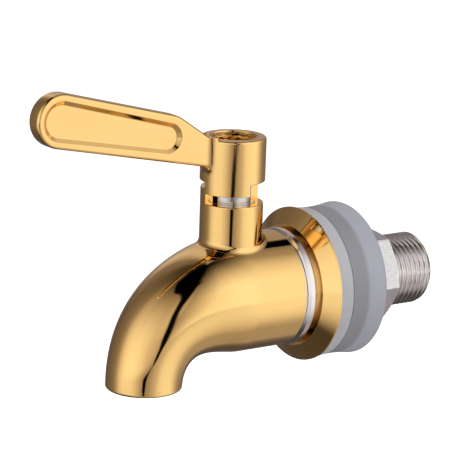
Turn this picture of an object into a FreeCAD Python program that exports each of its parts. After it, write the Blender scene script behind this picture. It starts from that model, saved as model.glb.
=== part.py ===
"""Quarter-turn ball spigot for a beverage dispenser, in millimetres.

+X runs along the shank towards the inside of the vessel, +Z is up, and the spout points to -X.
The origin is on the shank's axis, in the plane where the outer washer meets the vessel's wall.
The spigot is shut, with its lever over the spout, and the nut is run up against the washers.
"""
import FreeCAD, Part
import math
import os

V = FreeCAD.Vector
X_AXIS, Y_AXIS, Z_AXIS = V(1, 0, 0), V(0, 1, 0), V(0, 0, 1)

# Working lengths that are no size of the spigot
near = 0.01                  # an edge this close to a plane or a radius lies on it
past = 1.0                   # how far a cutter runs past its face, and a joined piece into the next

# Driving sizes of the cast body
barrel_r = 13.2              # round barrel that holds the ball
barrel_rear_x = -10.17       # where the barrel ends and the collar begins
barrel_edge_chamfer = 0.3
stem_x = -22.5               # the lever's turning axis
bend_offset = 0.3            # the spout starts to bend this far ahead of the stem's axis
bend_handle = 5.1            # how long the bend keeps the barrel's direction
drop_handle = 17.6           # how long it keeps the mouth's direction
mouth_reach = 22.3           # from the stem's axis forward to the mouth's centre
mouth_z = -18.8              # height of the mouth's rim
mouth_r = 8.45
taper_r = 8.35               # radius that the taper aims for on its way to the mouth
spout_wall = 1.7
mouth_edge_r = 0.6
barrel_sections = 6          # round sections that the skin is drawn through
bend_sections = 16
cavity_sections = 8

# Neck on top of the body, with the arc-shaped stop that limits the lever
neck_r = 7.06
neck_top_z = 21.35
neck_fillet_r = 1.8
stop_height = 4.4
stop_inner_r = 5.1
stop_arc_deg = 180.0
turn_deg = 90.0              # the lever's quarter turn
stop_gap_deg = 1.0           # left between the stop and the skirt's end at each limit

# Ball, seats and waterway
ball_r = 7.0
water_r = 4.2                # bore of the ball and of both seats
seat_inner_offset = 4.0      # from the stem's axis to the seat's inner face
seat_outer_offset = 7.6      # from the stem's axis to the seat's back
seat_r = 8.0
seat_gap = 0.05              # between ball and seat
fit_gap = 0.05               # between pieces that fit in a bore
slide_gap = 0.1              # between pieces with play
cavity_start = 0.45          # share of the bend where the hollow of the spout opens
cavity_throat_r = 5.2
throat_run = 2.0             # how far the straight waterway runs into the hollow

# Stem and its seals
stem_r = 3.0
stem_shoulder_r = 4.4
shoulder_bottom_z = 8.15
shoulder_height = 1.2
thrust_washer_t = 0.7
packing_bottom_z = 14.0
packing_ring_t = 1.3
packing_r = 5.0
tang_width = 6.0
tang_t = 2.9
slot_floor_z = 4.9
o_ring_z = (11.2, 12.9)
groove_w = 1.2
groove_floor_r = 2.1
square_af = 4.6              # across the stem's square
stem_top_gap = 0.3           # from the stem's end up to the lever's screw seat

# Gland nut that shuts the neck
gland_r = 4.27
gland_top_z = 25.6
gland_chamfer = 0.25
spanner_slot_w = 1.2
spanner_slot_depth = 1.2

# Lever: hub, skirt and paddle
hub_r = 7.32
hub_bottom_z = 26.25
hub_top_z = 36.2
hub_top_fillet = 0.4
hub_bottom_fillet = 0.7
skirt_drop = 2.6             # the skirt hangs this far below the hub
skirt_inner_r = 4.9
web_bottom_z = 27.0
web_top_z = 30.0
screw_well_r = 4.3
cap_socket_r = 5.18
cap_socket_depth = 3.3
paddle_t = 4.2
paddle_tip = (-45.08, 43.45)  # centre of the rounded tip, from the stem's axis
paddle_tip_r = 5.95
paddle_root = (-18.4, 37.5)  # where the paddle starts to narrow to the hub
paddle_root_half = 5.28
shoulder_point = (-15.66, 42.22)
hub_meeting = (-6.7, 36.2)
paddle_foot = (-6.2, 29.7)
paddle_edge_r = 0.75
paddle_knee_r = 6.0          # rounds the top edge at the shoulder
recess_depth = 0.9
recess_tip_r = 4.5
recess_root_r = 3.45
recess_slope = 0.8           # how far the recess's wall leans in on its way to the floor
recess_cut_past = 0.2

# Screw and washer that hold the lever
screw_r = 1.5
screw_depth = 7.0
screw_head_r = 3.4
screw_head_h = 1.9
screw_head_fillet = 0.4
screw_washer_r = 4.0
screw_washer_t = 0.8
screw_washer_gap = 0.15
screw_hole_spare = 0.5       # the tapped hole is this much deeper than the screw
screw_socket_af = 2.5
screw_socket_depth = 1.1

# Tail piece: nose, collar and threaded shank
thread_r = 8.33              # three-eighths pipe thread, over its crests
tail_bore_r = 5.25
nose_r = 9.6
collar_proud = 0.24          # the collar stands this far outside the barrel
collar_groove_depth = 0.74   # of the shadow gap between barrel and collar
collar_groove_w = 0.32
collar_bevel_w = 0.55
collar_w = 2.23
collar_rear_bevel = 0.2
step_r = 11.4
step_w = 1.49
shank_end_x = 29.5
shank_end_chamfer = 1.0
tail_o_ring_section_r = 0.75
tail_o_ring_pocket_r = 11.2
tail_o_ring_pocket_depth = 1.8

# Flange, washers and nut
flange_front_proud = 0.46    # its front face stands this far outside the collar
flange_r = 17.65
flange_rim_w = 0.4
outer_washer_t = 3.75
outer_washer_set_in = 0.2    # its front edge lies this far inside the flange's
joint_set_in = 0.6           # both washers, where they meet, inside the flange's edge
boss_set_in = 2.05           # the boss, inside the flange's edge
washer_boss_h = 0.7
inner_washer_t = 9.0
inner_washer_waist = 0.6     # where the waist is, as a share of the flare's length
waist_rise = 0.07            # radius gained from the joint to the waist
flare_rise = 0.5             # radius gained from the waist to the full rear edge
inner_washer_edge_r = 1.4
outer_washer_edge_r = 0.15
washer_bore_gap = 0.2
face_gap = 0.05              # between faces that only press on each other
nut_af = 20.0
nut_t = 9.0
nut_angle_deg = 4.5          # from +Y up to the nut's first corner
nut_chamfer_w = 0.9
nut_face_set_in = 0.4        # the end faces are this much smaller than the nut is across
nut_corner_spare = 0.2       # the chamfer's cone runs this far past the corners
thread_gap = 0.05            # between the shank's crests and what runs on them

# Places worked out from the sizes
seat_pocket_r = seat_r + fit_gap
seat_pocket_front_x = stem_x - seat_outer_offset
seat_pocket_rear_x = stem_x + seat_outer_offset
collar_rear_x = barrel_rear_x + collar_w
step_rear_x = collar_rear_x + step_w
washer_front_x = -outer_washer_t
collar_r = barrel_r + collar_proud
collar_front_r = collar_r - collar_groove_depth
flange_front_r = collar_r + flange_front_proud
outer_washer_front_r = flange_r - outer_washer_set_in
washer_joint_r = flange_r - joint_set_in
washer_boss_r = flange_r - boss_set_in
inner_washer_waist_r = washer_joint_r + waist_rise
inner_washer_r = inner_washer_waist_r + flare_rise
inner_washer_front_x = face_gap
inner_washer_rear_x = inner_washer_front_x + inner_washer_t
nut_front_x = inner_washer_rear_x + face_gap
shoulder_top_z = shoulder_bottom_z + shoulder_height
thrust_top_z = shoulder_top_z + thrust_washer_t
packing_middle_z = packing_bottom_z + packing_ring_t
packing_top_z = packing_middle_z + packing_ring_t
stop_top_z = neck_top_z + stop_height
stem_top_z = web_top_z - stem_top_gap
cap_socket_bottom_z = hub_top_z - cap_socket_depth


def tube(radius, start, length, axis):
    """A plain round bar from start, length along axis."""
    return Part.makeCylinder(radius, length, start, axis)


def bar_x(radius, x_from, x_to):
    """A round bar on the shank's axis."""
    return tube(radius, V(x_from, 0, 0), x_to - x_from, X_AXIS)


def bar_z(radius, z_from, z_to):
    """A round bar on the stem's axis."""
    return tube(radius, V(stem_x, 0, z_from), z_to - z_from, Z_AXIS)


def ring_z(outer_r, inner_r, z_from, z_to):
    """A washer on the stem's axis."""
    return bar_z(outer_r, z_from, z_to).cut(bar_z(inner_r, z_from - past, z_to + past))


def face_of(points):
    """A flat face inside a closed outline of points."""
    return Part.Face(Part.makePolygon(list(points) + [points[0]]))


def turned_x(profile):
    """A turned piece about the shank's axis, from (x, radius) corners."""
    return face_of([V(x, 0, r) for x, r in profile]).revolve(V(0, 0, 0), X_AXIS, 360)


def edges_where(shape, test):
    """The edges whose midpoint passes a test."""
    found = []
    for edge in shape.Edges:
        middle = edge.valueAt((edge.FirstParameter + edge.LastParameter) / 2)
        if test(middle, edge):
            found.append(edge)
    return found


def sector(inner_r, outer_r, z_from, z_to, angle_from, angle_to):
    """A piece of a ring about the stem's axis, between two angles from +X."""
    a, b = math.radians(angle_from), math.radians(angle_to)
    m = (a + b) / 2

    def at(radius, angle):
        return V(stem_x + radius * math.cos(angle), radius * math.sin(angle), z_from)

    outline = Part.Wire([
        Part.Arc(at(outer_r, a), at(outer_r, m), at(outer_r, b)).toShape(),
        Part.LineSegment(at(outer_r, b), at(inner_r, b)).toShape(),
        Part.Arc(at(inner_r, b), at(inner_r, m), at(inner_r, a)).toShape(),
        Part.LineSegment(at(inner_r, a), at(outer_r, a)).toShape(),
    ])
    return Part.Face(outline).extrude(V(0, 0, z_to - z_from))


def spout_station(t):
    """Point, direction and outer radius of the spout at share t of its bend.

    The centre line is a cubic curve from the barrel's axis to the mouth's, and the radius
    follows a cubic with the barrel's size at its start, so the surface leaves the barrel smoothly.
    """
    start = V(stem_x - bend_offset, 0, 0)
    end = V(stem_x - mouth_reach, 0, mouth_z)
    one, two = start - X_AXIS * bend_handle, end + Z_AXIS * drop_handle
    u = 1 - t
    point = start * u**3 + one * (3 * u * u * t) + two * (3 * u * t * t) + end * t**3
    slope = (one - start) * (u * u) + (two - one) * (2 * u * t) + (end - two) * (t * t)
    radius = barrel_r * (u**3 + 3 * u * u * t) + taper_r * 3 * u * t * t + mouth_r * t**3
    return point, slope.normalize(), radius


def round_section(point, direction, radius):
    """A circle across the spout, started at the same place all along so the skin isn't twisted."""
    section = Part.Wire(Part.makeCircle(radius, V(0, 0, 0), -X_AXIS))
    section.rotate(V(0, 0, 0), Y_AXIS, -math.degrees(math.atan2(-direction.z, -direction.x)))
    section.translate(point)
    return section


def spout_section(t, inset=0.0):
    """One round section of the spout, set in from its outside."""
    point, direction, radius = spout_station(t)
    return round_section(point, direction, radius - inset)


def spout_outside():
    """The barrel and the bent, tapering spout in one smooth skin."""
    bend_x = stem_x - bend_offset
    step = (bend_x - barrel_rear_x) / barrel_sections
    barrel = [round_section(V(barrel_rear_x + step * k, 0, 0), -X_AXIS, barrel_r)
              for k in range(barrel_sections)]
    bend = [spout_section(k / bend_sections) for k in range(bend_sections + 1)]
    return Part.makeLoft(barrel + bend, True, False)


def spout_cavity():
    """The hollow of the spout, one wall inside its skin, with the throat behind the ball."""
    point, direction, _ = spout_station(cavity_start)
    throat = round_section(point, direction, cavity_throat_r)
    step = (1 - cavity_start) / cavity_sections
    shares = [cavity_start + step * (k + 1) for k in range(cavity_sections)]
    hollow = Part.makeLoft([throat] + [spout_section(t, spout_wall) for t in shares], True, False)
    below = tube(mouth_r - spout_wall, V(stem_x - mouth_reach, 0, mouth_z - past), past, Z_AXIS)
    waterway = bar_x(water_r, point.x - throat_run, seat_pocket_front_x + past)
    return hollow.fuse(below).fuse(waterway)


def make_spout_body():
    """The casting: barrel, spout, neck and stop in one piece, with all its bores."""
    body = spout_outside().fuse(bar_z(neck_r, 0, neck_top_z))
    joint = edges_where(body, lambda p, e: 0 < e.BoundBox.ZMin and e.BoundBox.ZMax < barrel_r + past
                        and abs(math.hypot(p.x - stem_x, p.y) - neck_r) < near)
    body = body.makeFillet(neck_fillet_r, joint)
    rim = edges_where(body, lambda p, e: abs(p.z - mouth_z) < near and e.BoundBox.ZLength < near)
    body = body.makeFillet(mouth_edge_r, rim)
    rear = edges_where(body, lambda p, e: abs(p.x - barrel_rear_x) < near and e.BoundBox.XLength < near)
    body = body.makeChamfer(barrel_edge_chamfer, rear)
    body = body.cut(spout_cavity())
    body = body.cut(bar_x(seat_pocket_r, seat_pocket_front_x, seat_pocket_rear_x))
    body = body.cut(bar_x(nose_r + fit_gap, seat_pocket_rear_x, barrel_rear_x + past))
    o_ring_x = barrel_rear_x - tail_o_ring_pocket_depth
    body = body.cut(bar_x(tail_o_ring_pocket_r, o_ring_x, barrel_rear_x + past))
    body = body.cut(bar_z(stem_shoulder_r + slide_gap, 0, thrust_top_z))
    body = body.cut(bar_z(stem_r + fit_gap, 0, packing_bottom_z))
    body = body.cut(bar_z(packing_r + fit_gap, packing_bottom_z, neck_top_z + past))
    stop = sector(stop_inner_r, neck_r, neck_top_z - past, stop_top_z, 0, stop_arc_deg)
    return body.fuse(stop).removeSplitter()


def make_ball():
    """Ball with its waterway, which stands across the flow while the spigot is shut."""
    ball = Part.makeSphere(ball_r, V(stem_x, 0, 0))
    ball = ball.cut(tube(water_r, V(stem_x, -ball_r - past, 0), 2 * (ball_r + past), Y_AXIS))
    slot_w = tang_t + 2 * slide_gap
    slot = Part.makeBox(slot_w, 2 * ball_r, ball_r, V(stem_x - slot_w / 2, -ball_r, slot_floor_z))
    return ball.cut(slot)


def make_seat(side):
    """Ring seat that hugs the ball, in front of it (side -1) or behind it (side +1)."""
    inner, outer = stem_x + side * seat_inner_offset, stem_x + side * seat_outer_offset
    ring = bar_x(seat_r, min(inner, outer), max(inner, outer))
    ring = ring.cut(bar_x(water_r, min(inner, outer) - past, max(inner, outer) + past))
    return ring.cut(Part.makeSphere(ball_r + seat_gap, V(stem_x, 0, 0)))


def make_stem():
    """Stem with its tang, shoulder, two seal grooves, square top and tapped hole."""
    tang = Part.makeBox(tang_t, tang_width, shoulder_bottom_z - slot_floor_z,
                        V(stem_x - tang_t / 2, -tang_width / 2, slot_floor_z + slide_gap))
    stem = bar_z(stem_shoulder_r, shoulder_bottom_z, shoulder_top_z).fuse(tang)
    stem = stem.fuse(bar_z(stem_r, shoulder_top_z, web_bottom_z))
    square = Part.makeBox(square_af, square_af, stem_top_z - web_bottom_z,
                          V(stem_x - square_af / 2, -square_af / 2, web_bottom_z))
    stem = stem.fuse(square.common(bar_z(stem_r, web_bottom_z, stem_top_z)))
    for z in o_ring_z:
        stem = stem.cut(ring_z(stem_r + past, groove_floor_r, z - groove_w / 2, z + groove_w / 2))
    hole = bar_z(screw_r, stem_top_z - screw_depth - screw_hole_spare, stem_top_z + past)
    return stem.cut(hole).removeSplitter()


def make_stem_o_ring(z):
    """Small seal that fills its groove of the stem out to the neck's bore."""
    section_r = (stem_r + fit_gap / 2 - groove_floor_r) / 2
    return Part.makeTorus(groove_floor_r + section_r, section_r, V(stem_x, 0, z), Z_AXIS)


def make_tail_o_ring():
    """Seal between the body and the tail piece's collar."""
    x = barrel_rear_x - tail_o_ring_pocket_depth / 2
    middle_r = (nose_r + tail_o_ring_pocket_r) / 2
    return Part.makeTorus(middle_r, tail_o_ring_section_r, V(x, 0, 0), X_AXIS)


def make_gland():
    """Gland nut: threaded below the neck's rim, turned down above it, with a spanner slot."""
    gland = bar_z(packing_r, packing_top_z, neck_top_z).fuse(bar_z(gland_r, neck_top_z, gland_top_z))
    gland = gland.cut(bar_z(stem_r + fit_gap, packing_top_z - past, gland_top_z + past))
    slot_half = gland_r + past
    slot = Part.makeBox(2 * slot_half, spanner_slot_w, spanner_slot_depth + past,
                        V(stem_x - slot_half, -spanner_slot_w / 2, gland_top_z - spanner_slot_depth))
    top = edges_where(gland, lambda p, e: abs(p.z - gland_top_z) < near
                      and math.hypot(p.x - stem_x, p.y) > gland_r - near)
    return gland.makeChamfer(gland_chamfer, top).cut(slot)


def paddle_outline():
    """Side view of the lever's paddle, from the hub out to its round tip and back."""
    tip_x, tip_z = paddle_tip
    root_x, root_z = paddle_root
    reach = math.hypot(root_x - tip_x, root_z - tip_z)
    lean = math.atan2(tip_z - root_z, root_x - tip_x)
    taper = math.asin((paddle_tip_r - paddle_root_half) / reach)

    def at(centre, radius, angle):
        return V(stem_x + centre[0] + radius * math.cos(angle), 0, centre[1] + radius * math.sin(angle))

    up, down = math.pi / 2 - lean - taper, -math.pi / 2 - lean + taper
    tip_top, tip_bottom = at(paddle_tip, paddle_tip_r, up), at(paddle_tip, paddle_tip_r, down)
    tip_end = at(paddle_tip, paddle_tip_r, math.pi - lean)
    shoulder = V(stem_x + shoulder_point[0], 0, shoulder_point[1])
    root_low = at(paddle_root, paddle_root_half, down)
    meet = V(stem_x + hub_meeting[0], 0, hub_meeting[1])
    foot = V(stem_x + paddle_foot[0], 0, paddle_foot[1])
    return Part.Wire([
        Part.Arc(tip_bottom, tip_end, tip_top).toShape(),
        Part.LineSegment(tip_top, shoulder).toShape(),
        Part.LineSegment(shoulder, meet).toShape(),
        Part.LineSegment(meet, foot).toShape(),
        Part.LineSegment(foot, root_low).toShape(),
        Part.LineSegment(root_low, tip_bottom).toShape(),
    ])


def recess_wire(y, inset):
    """Long rounded outline of the paddle's recess, at depth y, drawn in by inset."""
    tip_x, tip_z = paddle_tip
    root_x, root_z = paddle_root
    tip_r, root_r = recess_tip_r - inset, recess_root_r - inset
    reach = math.hypot(root_x - tip_x, root_z - tip_z)
    lean = math.atan2(tip_z - root_z, root_x - tip_x)
    taper = math.asin((tip_r - root_r) / reach)

    def at(centre, radius, angle):
        return V(stem_x + centre[0] + radius * math.cos(angle), y, centre[1] + radius * math.sin(angle))

    up, down = math.pi / 2 - lean - taper, -math.pi / 2 - lean + taper
    a, b = at(paddle_tip, tip_r, up), at(paddle_tip, tip_r, down)
    c, d = at(paddle_root, root_r, down), at(paddle_root, root_r, up)
    return Part.Wire([
        Part.Arc(b, at(paddle_tip, tip_r, math.pi - lean), a).toShape(),
        Part.LineSegment(a, d).toShape(),
        Part.Arc(d, at(paddle_root, root_r, -lean), c).toShape(),
        Part.LineSegment(c, b).toShape(),
    ])


def make_paddle():
    """Flat paddle with rounded edges and a sloped recess in each face."""
    half = paddle_t / 2
    face = Part.Face(paddle_outline())
    face.translate(V(0, -half, 0))
    paddle = face.extrude(V(0, paddle_t, 0))
    knee_x = stem_x + shoulder_point[0]
    knee = edges_where(paddle, lambda p, e: abs(p.x - knee_x) < near and abs(p.y) < near)
    paddle = paddle.makeFillet(paddle_knee_r, knee)
    rims = edges_where(paddle, lambda p, e: abs(abs(p.y) - half) < near and p.x < stem_x - hub_r + past)
    paddle = paddle.makeFillet(paddle_edge_r, rims)
    lean_out = recess_cut_past * recess_slope / recess_depth
    for side in (-1, 1):
        floor_y = side * (half - recess_depth)
        mouth = recess_wire(side * (half + recess_cut_past), -lean_out)
        paddle = paddle.cut(Part.makeLoft([mouth, recess_wire(floor_y, recess_slope)], True, True))
    return paddle


def make_lever():
    """Lever casting: hub with its skirt, screw well, cap socket and paddle."""
    hub = bar_z(hub_r, hub_bottom_z, hub_top_z)
    bottom = edges_where(hub, lambda p, e: abs(p.z - hub_bottom_z) < near)
    hub = hub.makeFillet(hub_bottom_fillet, bottom)
    skirt = sector(skirt_inner_r, hub_r, hub_bottom_z - skirt_drop, hub_bottom_z + past,
                   stop_arc_deg + stop_gap_deg, 360 - turn_deg - stop_gap_deg)
    lever = hub.fuse(skirt).removeSplitter()
    lever = lever.fuse(make_paddle())
    top = edges_where(lever, lambda p, e: abs(p.z - hub_top_z) < near and e.BoundBox.ZLength < near
                      and abs(math.hypot(p.x - stem_x, p.y) - hub_r) < near)
    lever = lever.makeFillet(hub_top_fillet, top)
    lever = lever.cut(bar_z(skirt_inner_r, hub_bottom_z - skirt_drop - past, web_bottom_z))
    lever = lever.cut(bar_z(screw_well_r, web_top_z, hub_top_z + past))
    lever = lever.cut(bar_z(cap_socket_r, cap_socket_bottom_z, shoulder_point[1]))
    hole_af = square_af + 2 * fit_gap
    hole = Part.makeBox(hole_af, hole_af, web_top_z - web_bottom_z + 2 * past,
                        V(stem_x - hole_af / 2, -hole_af / 2, web_bottom_z - past))
    return lever.cut(hole.common(bar_z(stem_r + fit_gap, web_bottom_z - past, web_top_z + past)))


def make_screw():
    """Low-headed screw with a six-sided socket."""
    top = web_top_z + screw_washer_t + screw_head_h
    head = bar_z(screw_head_r, web_top_z + screw_washer_t, top)
    head = head.makeFillet(screw_head_fillet, edges_where(head, lambda p, e: abs(p.z - top) < near))
    screw = head.fuse(bar_z(screw_r, stem_top_z - screw_depth, web_top_z + screw_washer_t))
    corner_r = screw_socket_af / math.sqrt(3)
    socket = [V(stem_x + corner_r * math.cos(math.radians(60 * k)),
                corner_r * math.sin(math.radians(60 * k)),
                top - screw_socket_depth) for k in range(6)]
    return screw.cut(face_of(socket).extrude(V(0, 0, screw_socket_depth + past)))


def make_tail():
    """Tail piece: nose in the body, bevelled collar, step for the flange, bored shank."""
    front_x = seat_pocket_rear_x
    bevel_x = barrel_rear_x + collar_groove_w
    return turned_x([
        (front_x, tail_bore_r), (front_x, nose_r), (barrel_rear_x, nose_r),
        (barrel_rear_x, collar_front_r), (bevel_x, collar_front_r), (bevel_x + collar_bevel_w, collar_r),
        (collar_rear_x - collar_rear_bevel, collar_r), (collar_rear_x, collar_r - collar_rear_bevel),
        (collar_rear_x, step_r), (step_rear_x, step_r), (step_rear_x, thread_r),
        (shank_end_x - shank_end_chamfer, thread_r), (shank_end_x, thread_r - shank_end_chamfer),
        (shank_end_x, tail_bore_r),
    ])


def make_flange():
    """Cone-shaped cover flange with a shallow pocket for the washer's boss."""
    rear_x = washer_front_x
    pocket_x = rear_x - washer_boss_h - 2 * fit_gap
    bore = thread_r + thread_gap
    return turned_x([
        (step_rear_x, bore), (step_rear_x, flange_front_r), (rear_x - flange_rim_w, flange_r),
        (rear_x, flange_r), (rear_x, washer_boss_r + fit_gap), (pocket_x, washer_boss_r + fit_gap),
        (pocket_x, bore),
    ])


def make_outer_washer():
    """Soft washer outside the wall, with a boss that nests in the flange."""
    bore = thread_r + washer_bore_gap
    front = washer_front_x
    washer = turned_x([
        (front - washer_boss_h, bore), (front - washer_boss_h, washer_boss_r), (front, washer_boss_r),
        (front, outer_washer_front_r), (0, washer_joint_r), (0, bore),
    ])
    outer = edges_where(washer, lambda p, e: math.hypot(p.y, p.z) > washer_joint_r - near)
    return washer.makeFillet(outer_washer_edge_r, outer)


def make_inner_washer():
    """Soft washer inside the wall: a waist that flares to a full, rounded rear edge."""
    bore = thread_r + washer_bore_gap
    front, rear = inner_washer_front_x, inner_washer_rear_x
    lip_x = rear - inner_washer_edge_r
    waist_x = front + (lip_x - front) * inner_washer_waist
    edge_start = V(lip_x, 0, inner_washer_r)
    flare = Part.BSplineCurve()
    flare.interpolate([V(front, 0, washer_joint_r), V(waist_x, 0, inner_washer_waist_r), edge_start])
    edge_end = V(rear, 0, inner_washer_r - inner_washer_edge_r)
    diagonal = inner_washer_edge_r * math.sqrt(0.5)
    edge_mid = V(lip_x + diagonal, 0, inner_washer_r - inner_washer_edge_r + diagonal)
    outline = Part.Wire([
        Part.LineSegment(V(front, 0, bore), V(front, 0, washer_joint_r)).toShape(),
        flare.toShape(),
        Part.Arc(edge_start, edge_mid, edge_end).toShape(),
        Part.LineSegment(edge_end, V(rear, 0, bore)).toShape(),
        Part.LineSegment(V(rear, 0, bore), V(front, 0, bore)).toShape(),
    ])
    return Part.Face(outline).revolve(V(0, 0, 0), X_AXIS, 360)


def make_nut():
    """Hexagon nut with both ends chamfered."""
    corner_r, face_r = nut_af / math.sqrt(3), nut_af / 2 - nut_face_set_in
    cone_r = corner_r + nut_corner_spare
    start, end = nut_front_x, nut_front_x + nut_t
    corners = [V(start, corner_r * math.cos(math.radians(nut_angle_deg + 60 * k)),
                 corner_r * math.sin(math.radians(nut_angle_deg + 60 * k))) for k in range(6)]
    prism = face_of(corners).extrude(V(nut_t, 0, 0))
    envelope = turned_x([
        (start, 0), (start, face_r), (start + nut_chamfer_w, cone_r),
        (end - nut_chamfer_w, cone_r), (end, face_r), (end, 0),
    ])
    return prism.common(envelope).cut(bar_x(thread_r + thread_gap, start - past, end + past))


def main():
    """Build every piece and write one STEP file for each."""
    os.makedirs("parts", exist_ok=True)
    packing_bore = stem_r + fit_gap
    thrust = ring_z(stem_shoulder_r, stem_r + fit_gap, shoulder_top_z, thrust_top_z)
    screw_washer_bore = screw_r + screw_washer_gap
    screw_washer = ring_z(screw_washer_r, screw_washer_bore, web_top_z, web_top_z + screw_washer_t)
    pieces = {
        "spout_body": make_spout_body(),
        "valve_ball": make_ball(),
        "front_seat": make_seat(-1),
        "rear_seat": make_seat(1),
        "stem": make_stem(),
        "thrust_washer": thrust,
        "stem_o_ring_lower": make_stem_o_ring(o_ring_z[0]),
        "stem_o_ring_upper": make_stem_o_ring(o_ring_z[1]),
        "stem_packing_lower": ring_z(packing_r, packing_bore, packing_bottom_z, packing_middle_z),
        "stem_packing_upper": ring_z(packing_r, packing_bore, packing_middle_z, packing_top_z),
        "gland_nut": make_gland(),
        "lever": make_lever(),
        "lever_washer": screw_washer,
        "lever_screw": make_screw(),
        "tail_piece": make_tail(),
        "tail_o_ring": make_tail_o_ring(),
        "flange": make_flange(),
        "outer_washer": make_outer_washer(),
        "inner_washer": make_inner_washer(),
        "mounting_nut": make_nut(),
    }
    for name, shape in pieces.items():
        print(name, shape.isValid(), len(shape.Solids), round(shape.Volume, 2))
        shape.exportStep("parts/" + name + ".step")


main()
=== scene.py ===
"""Looks of a gold quarter-turn spigot for a beverage dispenser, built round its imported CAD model.

Lengths are in millimetres until a mesh is made, which turns them to metres. The frame is the CAD
model's: the shank's axis is X, +Z is up, the lever turns about the upright line through the stem,
and the spout points to -X. Each shape is a function of two parameters on a grid of points.
"""
from __future__ import annotations

import logging
import math
from collections.abc import Sequence
from dataclasses import dataclass
from enum import Enum

import bmesh
import bpy
import numpy as np
from bpy.types import Material, Node, NodeSocket, NodeTree, Object
from mathutils import Matrix, Vector

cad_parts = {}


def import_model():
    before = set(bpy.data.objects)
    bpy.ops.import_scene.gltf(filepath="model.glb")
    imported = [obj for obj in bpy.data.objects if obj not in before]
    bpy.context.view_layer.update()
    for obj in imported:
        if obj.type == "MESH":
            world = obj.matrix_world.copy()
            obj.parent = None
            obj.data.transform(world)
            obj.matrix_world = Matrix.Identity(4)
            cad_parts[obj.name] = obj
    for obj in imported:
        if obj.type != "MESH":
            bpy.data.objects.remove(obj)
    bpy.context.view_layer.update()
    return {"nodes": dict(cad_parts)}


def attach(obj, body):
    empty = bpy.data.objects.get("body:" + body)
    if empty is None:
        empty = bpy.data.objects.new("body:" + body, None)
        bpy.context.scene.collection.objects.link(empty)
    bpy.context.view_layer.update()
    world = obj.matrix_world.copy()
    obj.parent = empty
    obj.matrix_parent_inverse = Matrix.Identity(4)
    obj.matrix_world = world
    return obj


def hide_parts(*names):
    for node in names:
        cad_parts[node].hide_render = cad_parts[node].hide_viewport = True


Curve = tuple[tuple[float, ...], ...]
LOG = logging.getLogger("spigot")
MM = 0.001
STEM_X = -22.5  # the lever's turning axis
WELD_MM = 0.002  # points closer than this are one
AXIS_GAP = 0.01  # radius of the ring round an axis that a cap closes
DIFFERENCE_STEP = 1e-3  # for slopes taken as differences
FILLET_SPANS = 8
IMAGE_SIZE = 460  # pixels along each side of the photograph
SENSOR_MM = 36.0
WHITE = (1.0, 1.0, 1.0, 1.0)
FACTOR, FIRST, SECOND = 0, 6, 7  # sockets of a node that mixes colours


class Axis(Enum):
    """The two lines that turned pieces are turned about."""

    SHANK = "shank"
    STEM = "stem"


class Body(Enum):
    """The bodies that pieces ride on."""

    ROOT = "root"
    LEVER = "lever_stem"
    WASHER = "washer"
    NUT = "nut"


def linear(hex_colour: str) -> tuple[float, float, float, float]:
    """Turn an sRGB hex colour into the linear values that shaders take.

    Args:
        hex_colour: six hex digits after a hash.

    Returns:
        Linear red, green, blue and an alpha of 1.
    """
    channels = [int(hex_colour[k:k + 2], 16) / 255 for k in (1, 3, 5)]
    values = [c / 12.92 if c <= 0.04045 else ((c + 0.055) / 1.055) ** 2.4 for c in channels]
    return (values[0], values[1], values[2], 1.0)


def add_node(tree: NodeTree, kind: str, inputs: dict | None = None, **settings: object) -> Node:
    """Add a node, set its settings, and fill or link its inputs.

    Args:
        tree: the node tree to add to.
        kind: the node's type name.
        inputs: by socket name or number, a value or an output socket to link from.
        settings: attributes of the node itself.

    Returns:
        The new node.
    """
    node = tree.nodes.new(kind)
    for name, value in settings.items():
        setattr(node, name, value)
    for key, value in (inputs or {}).items():
        if isinstance(value, NodeSocket):
            tree.links.new(value, node.inputs[key])
        else:
            node.inputs[key].default_value = value
    return node


def blank_tree(block: Material | bpy.types.World) -> NodeTree:
    """Turn a block's nodes on and take out the ones it starts with."""
    block.use_nodes = True
    block.node_tree.nodes.clear()
    return block.node_tree


def linked(name: str, data: bpy.types.ID) -> Object:
    """Make an object of a mesh, camera or lamp and link it to the scene."""
    made = bpy.data.objects.new(name, data)
    bpy.context.scene.collection.objects.link(made)
    return made


def outward(azimuth_deg: float, elevation_deg: float) -> Vector:
    """The direction (sin a cos e, -cos a cos e, sin e) of an azimuth and an elevation."""
    a, e = math.radians(azimuth_deg), math.radians(elevation_deg)
    return Vector((math.sin(a) * math.cos(e), -math.cos(a) * math.cos(e), math.sin(e)))


def swung(first: np.ndarray, last: np.ndarray, sweep: np.ndarray | float, share: np.ndarray) -> np.ndarray:
    """Vectors swung from one to another through w: (sin((1 - s) w) first + sin(s w) last) / sin w."""
    return (np.sin((1 - share) * sweep) * first + np.sin(share * sweep) * last) / np.sin(sweep)


def fillet_arc(centre: np.ndarray, first: np.ndarray, last: np.ndarray, radius: float) -> np.ndarray:
    """Arcs about rolled balls' centres, from one touching point to the other.

    Args:
        centre: the balls' centres.
        first: from each centre to where its ball touches the one face.
        last: from each centre to where it touches the other.
        radius: the balls' radius.

    Returns:
        FILLET_SPANS + 1 rows of points.
    """
    sweep = np.arccos(np.clip((first * last).sum(-1) / radius**2, -1, 1))[:, None]
    share = np.linspace(0, 1, FILLET_SPANS + 1)[:, None, None]
    return centre + swung(first, last, sweep, share)


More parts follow.
